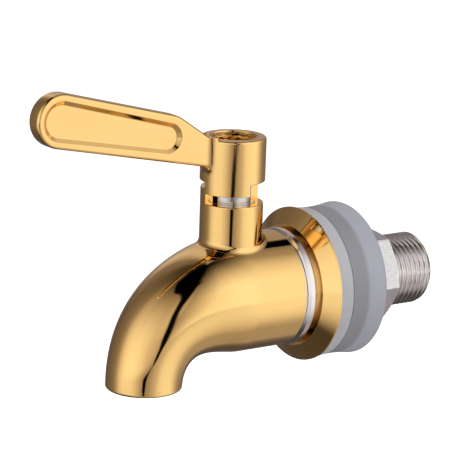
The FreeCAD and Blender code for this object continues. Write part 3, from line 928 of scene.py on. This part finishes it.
    def paddle(self, shell: Shell) -> None:
        """Add the paddle: rings that shrink from its rim to the floor of the recess on each face.

        The rim is set in along its own normals for the rounded edge. From there to the recess a
        row is a mix of the rim and of the recess's nearest points, and the recess's wall follows a
        rounded profile of (inset, depth) along the lines between them.
        """
        rim = self.rim()
        ahead = np.roll(rim, -1, axis=0) - np.roll(rim, 1, axis=0)
        ahead /= np.linalg.norm(ahead, axis=-1, keepdims=True)
        inwards = np.stack([ahead[:, 1], -ahead[:, 0]], axis=-1)
        turn = np.linspace(0, math.pi / 2, self.edge_spans + 1)
        edge = rim + inwards * self.edge_r * (1 - np.cos(turn))[:, None, None]
        edge_y = self.paddle_half_t - self.edge_r * (1 - np.sin(turn))[:, None]
        edge_y = np.broadcast_to(edge_y, edge.shape[:2])
        wall = rounded([(-self.recess_lead, 0, 0), (0, 0, self.recess_edge),
                        (self.recess_slope, self.recess_depth, self.recess_corner),
                        (self.recess_slope + self.floor_inset, self.recess_depth, 0)], self.recess_spans)
        border = self.recess_border()
        apart = np.linalg.norm(rim[:, None] - border[None], axis=-1)
        nearest = border[np.argmin(apart, axis=1)]
        outwards = (rim - nearest) / np.linalg.norm(rim - nearest, axis=-1, keepdims=True)
        recess = nearest - outwards * wall[:, 0, None, None]
        recess_y = np.repeat((self.paddle_half_t - wall[:, 1])[:, None], len(rim), axis=1)
        share = (np.linspace(0, 1, self.face_rings)[1:-1] ** self.face_power)[:, None, None]
        face = edge[-1] * (1 - share) + recess[0] * share
        face_y = np.full(face.shape[:2], self.paddle_half_t)
        rings = np.concatenate([edge, face, recess])
        height = np.concatenate([edge_y, face_y, recess_y])
        near = np.stack([STEM_X + rings[..., 0], -height, rings[..., 1]], axis=-1)
        far = near * [1, -1, 1]
        shell.sheet(np.concatenate([near[::-1], far]), wrap=True).cap(near[-1]).cap(far[-1])

    def build(self) -> Object:
        """Build the hub and the paddle as one piece."""
        shell = Shell()
        self.hub(shell)
        self.paddle(shell)
        self.root_fillet(shell)
        return shell.build("lever_cast")


def arc_points(centre: Sequence[float], radius: float, start: float, end: float, count: int) -> np.ndarray:
    """Points at the centre plus radius (cos a, sin a), from one angle to another."""
    angle = np.linspace(start, end, count)
    return np.stack([centre[0] + radius * np.cos(angle), centre[1] + radius * np.sin(angle)], axis=-1)


def resampled(points: np.ndarray, count: int) -> np.ndarray:
    """Spread a closed outline's points evenly along its length, from its first point.

    Args:
        points: rows of two numbers.
        count: how many points to return.

    Returns:
        The new points.
    """
    closed = np.concatenate([points, points[:1]])
    length = np.concatenate([[0], np.cumsum(np.linalg.norm(np.diff(closed, axis=0), axis=1))])
    where = np.arange(count) * (length[-1] / count)
    return np.stack([np.interp(where, length, closed[:, k]) for k in (0, 1)], axis=-1)


@dataclass
class TailPiece:
    """The turned piece behind the barrel: nose, bevelled collar, step, and threaded shank."""

    nose_front_x: float = -14.9
    nose_r: float = 9.6
    barrel_rear_x: float = -10.17
    groove_w: float = 0.32
    groove_r: float = 12.7
    bevel_w: float = 0.55
    collar_r: float = 13.44
    collar_rear_x: float = -7.94
    step_r: float = 11.4
    step_rear_x: float = -6.45
    thread_r: float = 8.33
    thread_pitch: float = 1.337
    thread_depth: float = 0.75
    thread_start_x: float = -3.5
    end_x: float = 29.5
    end_chamfer: float = 1.0
    end_slope: float = 0.9  # how far the chamfer's cone grows per mm
    bore_r: float = 5.25
    bore_chamfer: float = 0.3
    bevel_edge: float = 0.12
    collar_edge: float = 0.18
    spans_per_turn: int = 12
    columns: int = 112
    sharp_deg: float = 40.0

    def build(self) -> Object:
        """Build the piece as one turned grid whose radius carries the helical thread.

        Along the shank the radius is that of the crests less the thread's depth times a wave of
        phase x / pitch - angle / full turn, faded out at its start and held under the chamfer's
        cone at its end.

        Returns:
            The finished object.
        """
        angles = circle_angles(self.columns)
        front = rounded([
            (self.end_x, self.bore_r + self.bore_chamfer, 0),
            (self.end_x - self.bore_chamfer, self.bore_r, 0),
            (self.nose_front_x, self.bore_r, 0), (self.nose_front_x, self.nose_r, 0),
            (self.barrel_rear_x, self.nose_r, 0), (self.barrel_rear_x, self.groove_r, 0),
            (self.barrel_rear_x + self.groove_w, self.groove_r, 0),
            (self.barrel_rear_x + self.groove_w + self.bevel_w, self.collar_r, self.bevel_edge),
            (self.collar_rear_x, self.collar_r, self.collar_edge), (self.collar_rear_x, self.step_r, 0),
            (self.step_rear_x, self.step_r, 0), (self.step_rear_x, self.thread_r - self.thread_depth, 0),
            (self.thread_start_x, self.thread_r - self.thread_depth, 0)])
        rows = int((self.end_x - self.thread_start_x) / self.thread_pitch * self.spans_per_turn)
        x = np.linspace(self.thread_start_x, self.end_x, rows)[1:, None]
        grown = smooth_step((x - self.thread_start_x) / self.thread_pitch)
        wave = thread_wave(x / self.thread_pitch - angles / (2 * math.pi))
        cone = self.thread_r - self.end_chamfer + (self.end_x - x) * self.end_slope
        radius = self.thread_r - self.thread_depth + self.thread_depth * wave * grown
        radius = np.minimum(radius, cone)
        shank = np.stack([np.broadcast_to(x, radius.shape), radius], axis=-1)
        grid = np.concatenate([turned(front, angles, Axis.SHANK), turned(shank, angles, Axis.SHANK)])
        grid = np.concatenate([grid, grid[:1]])
        return Shell().sheet(grid, wrap=True).build("tail_piece_turned", self.sharp_deg)


@dataclass
class WallSeals:
    """The cone-shaped cover flange and the two soft washers that grip the vessel's wall."""

    bore_r: float = 8.38
    soft_bore_r: float = 8.53
    flange_front_x: float = -6.45
    flange_front_r: float = 13.9
    flange_r: float = 17.65
    flange_rim: float = 0.4
    front_edge: float = 0.18
    cone_edge: float = 0.1
    rim_edge: float = 0.06
    wall_side_x: float = -3.75
    boss_r: float = 15.6
    boss_h: float = 0.7
    boss_gap_r: float = 0.05
    boss_gap_x: float = 0.1
    joint_edge: float = 0.25
    outer_front_r: float = 17.45
    joint_r: float = 17.05
    inner_front_x: float = 0.05
    waist_x: float = 4.6
    waist_r: float = 17.12
    inner_r: float = 17.62
    inner_edge: float = 0.7
    inner_rear_x: float = 9.05
    flare_rows: int = 24
    edge_rows: int = 10
    columns: int = 160

    def ring(self, name: str, profile: np.ndarray) -> Object:
        """Turn a closed profile about the shank's axis."""
        grid = turned(np.concatenate([profile, profile[:1]]), circle_angles(self.columns), Axis.SHANK)
        return Shell().sheet(grid, wrap=True).build(name)

    def flange(self) -> Object:
        """The gold flange, hollow behind for the washer's boss."""
        pocket_r, pocket_x = self.boss_r + self.boss_gap_r, self.wall_side_x - self.boss_h - self.boss_gap_x
        return self.ring("flange_cone", rounded([
            (self.flange_front_x, self.bore_r, 0),
            (self.flange_front_x, self.flange_front_r, self.front_edge),
            (self.wall_side_x - self.flange_rim, self.flange_r, self.cone_edge),
            (self.wall_side_x, self.flange_r, self.rim_edge),
            (self.wall_side_x, pocket_r, 0), (pocket_x, pocket_r, 0), (pocket_x, self.bore_r, 0)]))

    def outer_washer(self) -> Object:
        """The light washer, with the boss that nests in the flange."""
        front = self.wall_side_x
        return self.ring("outer_washer_moulded", rounded([
            (front - self.boss_h, self.soft_bore_r, 0), (front - self.boss_h, self.boss_r, 0),
            (front, self.boss_r, 0), (front, self.outer_front_r, self.front_edge),
            (0, self.joint_r, self.joint_edge), (0, self.soft_bore_r, 0)]))

    def inner_washer(self) -> Object:
        """The grey washer: a waist that flares to a full rear edge, rounded by a quarter circle.

        From the front to the edge the radius is a parabola through the joint, the waist and the
        full radius.
        """
        lip_x = self.inner_rear_x - self.inner_edge
        x = np.linspace(self.inner_front_x, lip_x, self.flare_rows)
        flare = np.polyval(np.polyfit([self.inner_front_x, self.waist_x, lip_x],
                                      [self.joint_r, self.waist_r, self.inner_r], 2), x)
        side = np.stack([x, flare], axis=-1)
        edge = arc_points((lip_x, self.inner_r - self.inner_edge), self.inner_edge,
                          math.pi / 2, 0, self.edge_rows)[1:]
        inner = np.array([(self.inner_rear_x, self.soft_bore_r), (self.inner_front_x, self.soft_bore_r)])
        return self.ring("inner_washer_moulded", np.concatenate([side, edge, inner]))


@dataclass
class MountingNut:
    """The cast hexagon nut, chamfered at both ends."""

    front_x: float = 9.1
    thickness: float = 9.0
    across_flats: float = 20.0
    first_corner_deg: float = 4.5
    chamfer_w: float = 0.9
    face_set_in: float = 0.4
    edge_w: float = 0.1  # row past the chamfer that keeps the flats' shading flat
    bore_r: float = 8.38
    bore_chamfer: float = 0.5
    corner_power: float = 90.0  # the higher, the sharper the six corners
    columns: int = 180
    sharp_deg: float = 22.0

    def build(self) -> Object:
        """Build the nut as one turned grid with a six-sided radius.

        The radius is (sum over the flats of (cos(a - flat) / half the width) ^ power) ^ (-1 / power),
        a hexagon with soft corners. A chamfer starts where its cone meets that radius, so its edge
        is a curve on each flat as on a real nut.

        Returns:
            The finished object.
        """
        angles = circle_angles(self.columns, math.radians(self.first_corner_deg))
        flats = math.radians(self.first_corner_deg + 30) + np.arange(6)[:, None] * math.pi / 3
        facing = np.maximum(np.cos(angles - flats), 0) / (self.across_flats / 2)
        hexagon = (facing**self.corner_power).sum(0) ** (-1 / self.corner_power)
        face_r = self.across_flats / 2 - self.face_set_in
        rise = (hexagon - face_r) / (self.across_flats / math.sqrt(3) - face_r)
        inset = self.chamfer_w * rise
        front, rear, lead = self.front_x, self.front_x + self.thickness, self.bore_chamfer
        rows = [(front, self.bore_r), (front, face_r), (front + inset, hexagon),
                (front + inset + self.edge_w, hexagon), (rear - inset - self.edge_w, hexagon),
                (rear - inset, hexagon), (rear, face_r), (rear, self.bore_r + lead),
                (rear - lead, self.bore_r), (front, self.bore_r)]
        profile = np.stack([np.stack(np.broadcast_arrays(*row, angles)[:2], axis=-1) for row in rows])
        grid = turned(profile, angles, Axis.SHANK)
        return Shell().sheet(grid, wrap=True).build("mounting_nut_cast", self.sharp_deg)


@dataclass(frozen=True)
class Tent:
    """A light tent round the set, which only metal mirrors: soft boxes, a dark gap, and darker ends.

    Azimuths are counted from the camera, in degrees, to the right as the camera sees them.
    """

    camera_azimuth_deg: float
    radius: float = 3000.0
    rows: int = 360
    columns: int = 720
    # azimuth, tone of the tent's wall at eye level
    horizon: Curve = (
        (-180, 0.3), (-165, 0.33), (-155, 0.15), (-145, 0.1), (-138, 0.12), (-115, 0.17), (-105, 0.2),
        (-95, 0.28), (-90, 0.36), (-85, 0.5), (-75, 0.8), (-62, 1.06), (-50, 1.14), (-38, 1.13), (-25, 1.0),
        (-15, 0.87), (-5, 0.7), (8, 0.56), (18, 0.36), (24, 0.5), (30, 0.73), (36, 1.03), (45, 1.18),
        (60, 1.2), (70, 1.13), (80, 1.13), (90, 1.08), (97, 0.97), (105, 0.83), (115, 0.53), (125, 0.38),
        (135, 0.25), (150, 0.18), (165, 0.3), (180, 0.3))
    # azimuth, the wall's tone near the table as a share of that
    lower: Curve = (
        (-70, 1.0), (-55, 0.89), (-35, 0.83), (-25, 0.76), (-15, 0.64), (-5, 0.5), (9, 0.55), (13, 0.8),
        (19, 1.15), (24, 1.0), (30, 0.76), (36, 0.67), (45, 0.78), (60, 0.87), (80, 1.0), (90, 0.95),
        (105, 0.78), (125, 0.68), (140, 0.9))
    # azimuth, the wall's tone high up as a share of that
    upper: Curve = (
        (-165, 1.5), (-155, 3.6), (-145, 2.0), (-130, 1.0), (20, 1.1), (40, 1.0), (150, 1.0), (165, 1.1))
    # azimuth, the elevation where the ceiling has half the wall's tone, half the span of that fall
    ceiling: Curve = (
        (-180, 95, 30), (-140, 80, 30), (-120, 60, 33), (-100, 57, 36), (-75, 45, 40), (-50, 38, 42),
        (-10, 38, 42), (20, 57, 33), (110, 57, 33), (140, 80, 30), (180, 95, 30))
    # azimuth, the table's tone, how far down it starts, over how many degrees it comes in
    table: Curve = (
        (-180, 0.1, 0, 14), (-150, 0.08, 12, 32), (-60, 0.06, 12, 32), (-35, 0.2, 14, 45), (0, 0.3, 14, 50),
        (50, 0.4, 14, 60), (70, 0.38, 14, 55), (85, 0.38, 12, 45), (105, 0.38, 12, 38), (135, 0.36, 12, 32),
        (150, 0.16, 10, 30), (165, 0.08, 5, 22), (180, 0.1, 0, 14))
    lower_span: tuple[float, float] = (-6, -12)  # elevations where the lower share starts and is full
    upper_span: tuple[float, float] = (4, 20)  # the same for the upper share
    nadir_span: tuple[float, float] = (-60, -85)  # and for the table's share straight below
    nadir_share: float = 0.5
    # elevation, azimuth and half width of each dark slit
    gaps: tuple[Curve, ...] = (
        ((-28, 4, -8), (-22, 2, 0), (-17, 0.8, 2.8), (-14, 0.8, 3), (-13, 1.6, 4), (-12.5, 3, 4.6),
         (-12, 5, 5), (-11.5, 7, 4), (-10.8, 18, 2.2), (-5, 19.3, 2.2), (2, 16, 2.6), (10, 13.2, 2.3),
         (18, 10.2, 2.2), (23, 8.4, 2.2), (30, 7.2, 2.3), (43, 6.5, 4), (48, 5, 6), (53, 2, 9), (58, -5, 18),
         (63, -12, 22), (70, -20, 30)),
        ((40, 156, -8), (46, 154, 5), (54, 147, 6), (62, 135, -8)))
    gap_fade: float = 2.4
    gap_spread: float = 0.3  # a wider slit has softer edges, by this share of its half width
    warmth: tuple[float, float, float] = (0.14, 0.0, -0.04)  # dark cloth is warmer than bright cloth
    coolness: float = 0.1  # more blue behind the set
    cool_from: float = 110.0
    cool_fade: float = 45.0

    @staticmethod
    def values(angle: np.ndarray, curve: Curve) -> list[np.ndarray]:
        """A curve's values at some angles, on straight lines between its rows."""
        places, *columns = np.transpose(curve)
        return [np.interp(angle, places, column) for column in columns]

    @staticmethod
    def passed(elevation: np.ndarray, span: tuple[float, float]) -> np.ndarray:
        """How much of a span of elevations lies behind, as a smooth step."""
        return smooth_step((elevation - span[0]) / (span[1] - span[0]))

    def tones(self, azimuth: np.ndarray, elevation: np.ndarray) -> np.ndarray:
        """Tone of the tent in each direction.

        It is the wall's tone at eye level, which falls by a smooth step towards the ceiling and
        blends towards the table's below, times a smooth step away from the middle of each dark slit.

        Args:
            azimuth: degrees from the camera, -180 to 180.
            elevation: degrees above eye level.

        Returns:
            Linear red, green and blue on a last axis.
        """
        wall, = self.values(azimuth, self.horizon)
        lower, = self.values(azimuth, self.lower)
        upper, = self.values(azimuth, self.upper)
        wall = wall * (1 + (lower - 1) * self.passed(elevation, self.lower_span))
        wall = wall * (1 + (upper - 1) * self.passed(elevation, self.upper_span))
        half_tone, half_fall = self.values(azimuth, self.ceiling)
        wall = wall * (1 - smooth_step((elevation - half_tone) / (2 * half_fall) + 0.5))
        table, drop, fade = self.values(azimuth, self.table)
        table = table * (1 + (self.nadir_share - 1) * self.passed(elevation, self.nadir_span))
        below = smooth_step((-elevation - drop) / fade)
        tone = wall * (1 - below) + table * below
        for gap in self.gaps:
            middle, half = self.values(elevation, gap)
            fade = self.gap_fade + self.gap_spread * np.maximum(half, 0)
            tone = tone * smooth_step((np.abs(azimuth - middle) - half) / fade)
        shade = np.clip(1 - tone, 0, 1)[..., None]
        cool = smooth_step((np.abs(azimuth) - self.cool_from) / self.cool_fade)[..., None]
        tint = 1 + shade * np.array(self.warmth) + cool * np.array([0, 0, self.coolness])
        return tone[..., None] * tint

    def build(self) -> Object:
        """Make the tent as a sphere whose points carry the tones as a colour attribute.

        A point lies at radius x (sin a cos e, -cos a cos e, sin e) for the azimuth a and elevation e.

        Returns:
            The tent, which is part of the set and not of the spigot.
        """
        azimuth, elevation = np.meshgrid(np.linspace(-180, 180, self.columns + 1),
                                         np.linspace(-90, 90, self.rows + 1))
        a, e = np.radians(azimuth + self.camera_azimuth_deg), np.radians(elevation)
        points = self.radius * np.stack([np.sin(a) * np.cos(e), -np.cos(a) * np.cos(e), np.sin(e)], axis=-1)
        mesh = bpy.data.meshes.new("light_tent")
        mesh.from_pydata((points.reshape(-1, 3) * MM).tolist(), [], quad_faces(*azimuth.shape).tolist())
        tones = np.concatenate([self.tones(azimuth, elevation), np.ones((*azimuth.shape, 1))], axis=-1)
        layer = mesh.color_attributes.new("tone", "FLOAT_COLOR", "POINT")
        layer.data.foreach_set("color", tones.astype(np.float32).ravel())
        tent = linked("light_tent", mesh)
        material = bpy.data.materials.new("lit_tent_cloth")
        tree = blank_tree(material)
        tone = add_node(tree, "ShaderNodeAttribute", attribute_name="tone")
        glow = add_node(tree, "ShaderNodeEmission", {"Color": tone.outputs["Color"], "Strength": 1.0})
        add_node(tree, "ShaderNodeOutputMaterial", {"Surface": glow.outputs[0]})
        mesh.materials.append(material)
        tent.visible_camera = tent.visible_diffuse = tent.visible_shadow = False
        tent.visible_transmission = tent.visible_volume_scatter = False
        return tent


@dataclass
class Studio:
    """The white set: camera, world, floor, lamps, and the tent that the metal mirrors."""

    azimuth_deg: float = -34.527
    elevation_deg: float = 13.956
    roll_deg: float = 1.926
    distance: float = 567.561
    aside: float = -11.469
    above: float = 12.302
    aim_x: float = -8.746
    focal_px: float = 2494.36
    clip_m: tuple[float, float] = (0.01, 50.0)
    floor_z: float = -160.0
    floor_size: float = 6000.0
    floor_colour: str = "#F2F2F2"
    floor_glow: float = 0.7  # for the rays that see the floor, on top of the lamps' light
    white: float = 1.0
    soft_level: float = 0.5  # the world's light on dull surfaces
    lamp_distance: float = 900.0

    def camera(self) -> Object:
        """Make the camera from the viewpoint fitted to the photograph.

        The camera looks straight against the direction of its azimuth and elevation, from a
        distance along it and two offsets across it, and is then rolled.

        Returns:
            The camera object.
        """
        a, r = math.radians(self.azimuth_deg), math.radians(self.roll_deg)
        back, side = outward(self.azimuth_deg, self.elevation_deg), Vector((math.cos(a), math.sin(a), 0))
        upright = back.cross(side)
        place = Vector((self.aim_x, 0, 0)) + back * self.distance + side * self.aside + upright * self.above
        right = side * math.cos(r) + upright * math.sin(r)
        up = upright * math.cos(r) - side * math.sin(r)
        data = bpy.data.cameras.new("photo_camera")
        data.sensor_width = SENSOR_MM
        data.lens = self.focal_px / IMAGE_SIZE * SENSOR_MM
        data.clip_start, data.clip_end = self.clip_m
        camera = linked("photo_camera", data)
        turn = Matrix((right, up, back)).transposed().to_4x4()
        camera.matrix_world = Matrix.Translation(place * MM) @ turn
        bpy.context.scene.camera = camera
        return camera

    def world(self) -> None:
        """White for what the camera, metal and glass see, and a softer level for dull surfaces."""
        world = bpy.data.worlds.new("white_set")
        tree = blank_tree(world)
        level = add_node(tree, "ShaderNodeMapRange",
                         {"Value": self.seen_rays(tree), "To Min": self.soft_level, "To Max": self.white})
        shade = add_node(tree, "ShaderNodeBackground", {"Color": WHITE, "Strength": level.outputs[0]})
        add_node(tree, "ShaderNodeOutputWorld", {"Surface": shade.outputs[0]})
        bpy.context.scene.world = world

    @staticmethod
    def seen_rays(tree: NodeTree) -> NodeSocket:
        """A value of 1 for camera, glossy and transmission rays, and 0 for others."""
        path = add_node(tree, "ShaderNodeLightPath")
        seen = path.outputs["Is Camera Ray"]
        for kind in ("Is Glossy Ray", "Is Transmission Ray"):
            either = add_node(tree, "ShaderNodeMath", {0: seen, 1: path.outputs[kind]}, operation="MAXIMUM")
            seen = either.outputs[0]
        return seen

    def floor(self) -> Object:
        """A pale floor well below the spigot, white where it is lit and darker under a shadow."""
        half = self.floor_size / 2
        corners = np.array([(-half, -half), (half, -half), (half, half), (-half, half)])
        points = np.column_stack([corners, np.full(4, self.floor_z)]) * MM
        mesh = bpy.data.meshes.new("pale_floor")
        mesh.from_pydata(points.tolist(), [], [[0, 1, 2, 3]])
        floor = linked("pale_floor", mesh)
        material = bpy.data.materials.new("pale_matt_paper")
        tree = blank_tree(material)
        dull = add_node(tree, "ShaderNodeBsdfDiffuse", {"Color": linear(self.floor_colour)})
        lift = add_node(tree, "ShaderNodeMath", {0: self.seen_rays(tree), 1: self.floor_glow},
                        operation="MULTIPLY")
        glow = add_node(tree, "ShaderNodeEmission", {"Color": WHITE, "Strength": lift.outputs[0]})
        both = add_node(tree, "ShaderNodeAddShader", {0: dull.outputs[0], 1: glow.outputs[0]})
        add_node(tree, "ShaderNodeOutputMaterial", {"Surface": both.outputs[0]})
        mesh.materials.append(material)
        floor.visible_glossy = False
        return floor

    def lamp(self, name: str, azimuth_deg: float, elevation_deg: float, size: float, power: float) -> None:
        """Hang a soft square lamp that lights dull surfaces and isn't mirrored by metal.

        Args:
            name: the lamp's name.
            azimuth_deg: where it hangs round the set.
            elevation_deg: how high it hangs.
            size: its side, in mm.
            power: in watts.
        """
        out = outward(azimuth_deg, elevation_deg)
        data = bpy.data.lights.new(name, "AREA")
        data.size, data.energy = size * MM, power
        lamp = linked(name, data)
        lamp.location = out * self.lamp_distance * MM
        lamp.rotation_euler = out.to_track_quat("Z", "Y").to_euler()
        lamp.visible_glossy = False

    def build(self) -> None:
        """Set up the whole studio."""
        self.camera()
        self.world()
        self.floor()
        self.lamp("key_lamp", azimuth_deg=-70, elevation_deg=45, size=600, power=4.8)
        self.lamp("fill_lamp", azimuth_deg=30, elevation_deg=30, size=800, power=2.4)
        Tent(camera_azimuth_deg=self.azimuth_deg).build()
        bpy.context.scene.view_settings.view_transform = "Standard"


def dress_cad_nodes(nodes: dict[str, Object], dress: dict[str, Material]) -> None:
    """Give the CAD nodes that show as they are their materials.

    Args:
        nodes: the frame's nodes by name.
        dress: the material of each of those nodes.
    """
    for name, material in dress.items():
        nodes[name].data.materials.clear()
        nodes[name].data.materials.append(material)
        LOG.info("%s: CAD node dressed in %s", name, material.name)


def main() -> None:
    """Load the frame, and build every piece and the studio."""
    logging.basicConfig(level=logging.INFO, format="%(name)s: %(message)s")
    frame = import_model()

    gold = GoldCoating().material()
    shank_steel = TurnedSteel().material()
    stem_steel = TurnedSteel("turned_stainless_steel_upright", "#D2D2D6", axis=Axis.STEM).material()
    cast_steel = CastSteel().material()
    # Silicone and fluoroplastic have a soft sheen and let a little light in. Black rubber doesn't.
    light_silicone = Finish("moulded_light_silicone", "#B2B2B6", "#AEAEB3", 0.42, glow_mm=1.0).material()
    # The grey washer's waist carries painted shade.
    grey_silicone = SiliconeWithPaintedWaistShade("moulded_grey_silicone", "#A3A4AE", "#9C9DA6", glow_mm=1.0).material()
    fluoroplastic = Finish("turned_white_fluoroplastic", "#F1F1EE", "#E9E9E6", 0.35, glow_mm=0.8).material()
    rubber = Finish("moulded_black_rubber", "#1B1B1C", "#222223", 0.5).material()

    settle(SpoutBody().build(), Body.ROOT, gold, ["spout_body"])
    settle(Lever().build(), Body.LEVER, gold, ["lever"])
    settle(TailPiece().build(), Body.ROOT, shank_steel, ["tail_piece"])
    seals = WallSeals()
    settle(seals.flange(), Body.ROOT, gold, ["flange"])
    settle(seals.outer_washer(), Body.ROOT, light_silicone, ["outer_washer"])
    settle(seals.inner_washer(), Body.WASHER, grey_silicone, ["inner_washer"])
    settle(MountingNut().build(), Body.NUT, cast_steel, ["mounting_nut"])

    steel_nodes = ["gland_nut", "stem", "lever_screw", "lever_washer", "valve_ball"]
    plastic_nodes = ["front_seat", "rear_seat", "thrust_washer", "stem_packing_lower", "stem_packing_upper"]
    rubber_nodes = ["stem_o_ring_lower", "stem_o_ring_upper", "tail_o_ring"]
    dress = {name: stem_steel for name in steel_nodes}
    dress |= {name: fluoroplastic for name in plastic_nodes}
    dress |= {name: rubber for name in rubber_nodes}
    dress_cad_nodes(frame["nodes"], dress)

    Studio().build()
    bpy.context.view_layer.update()


if __name__ == "__main__":
    main()
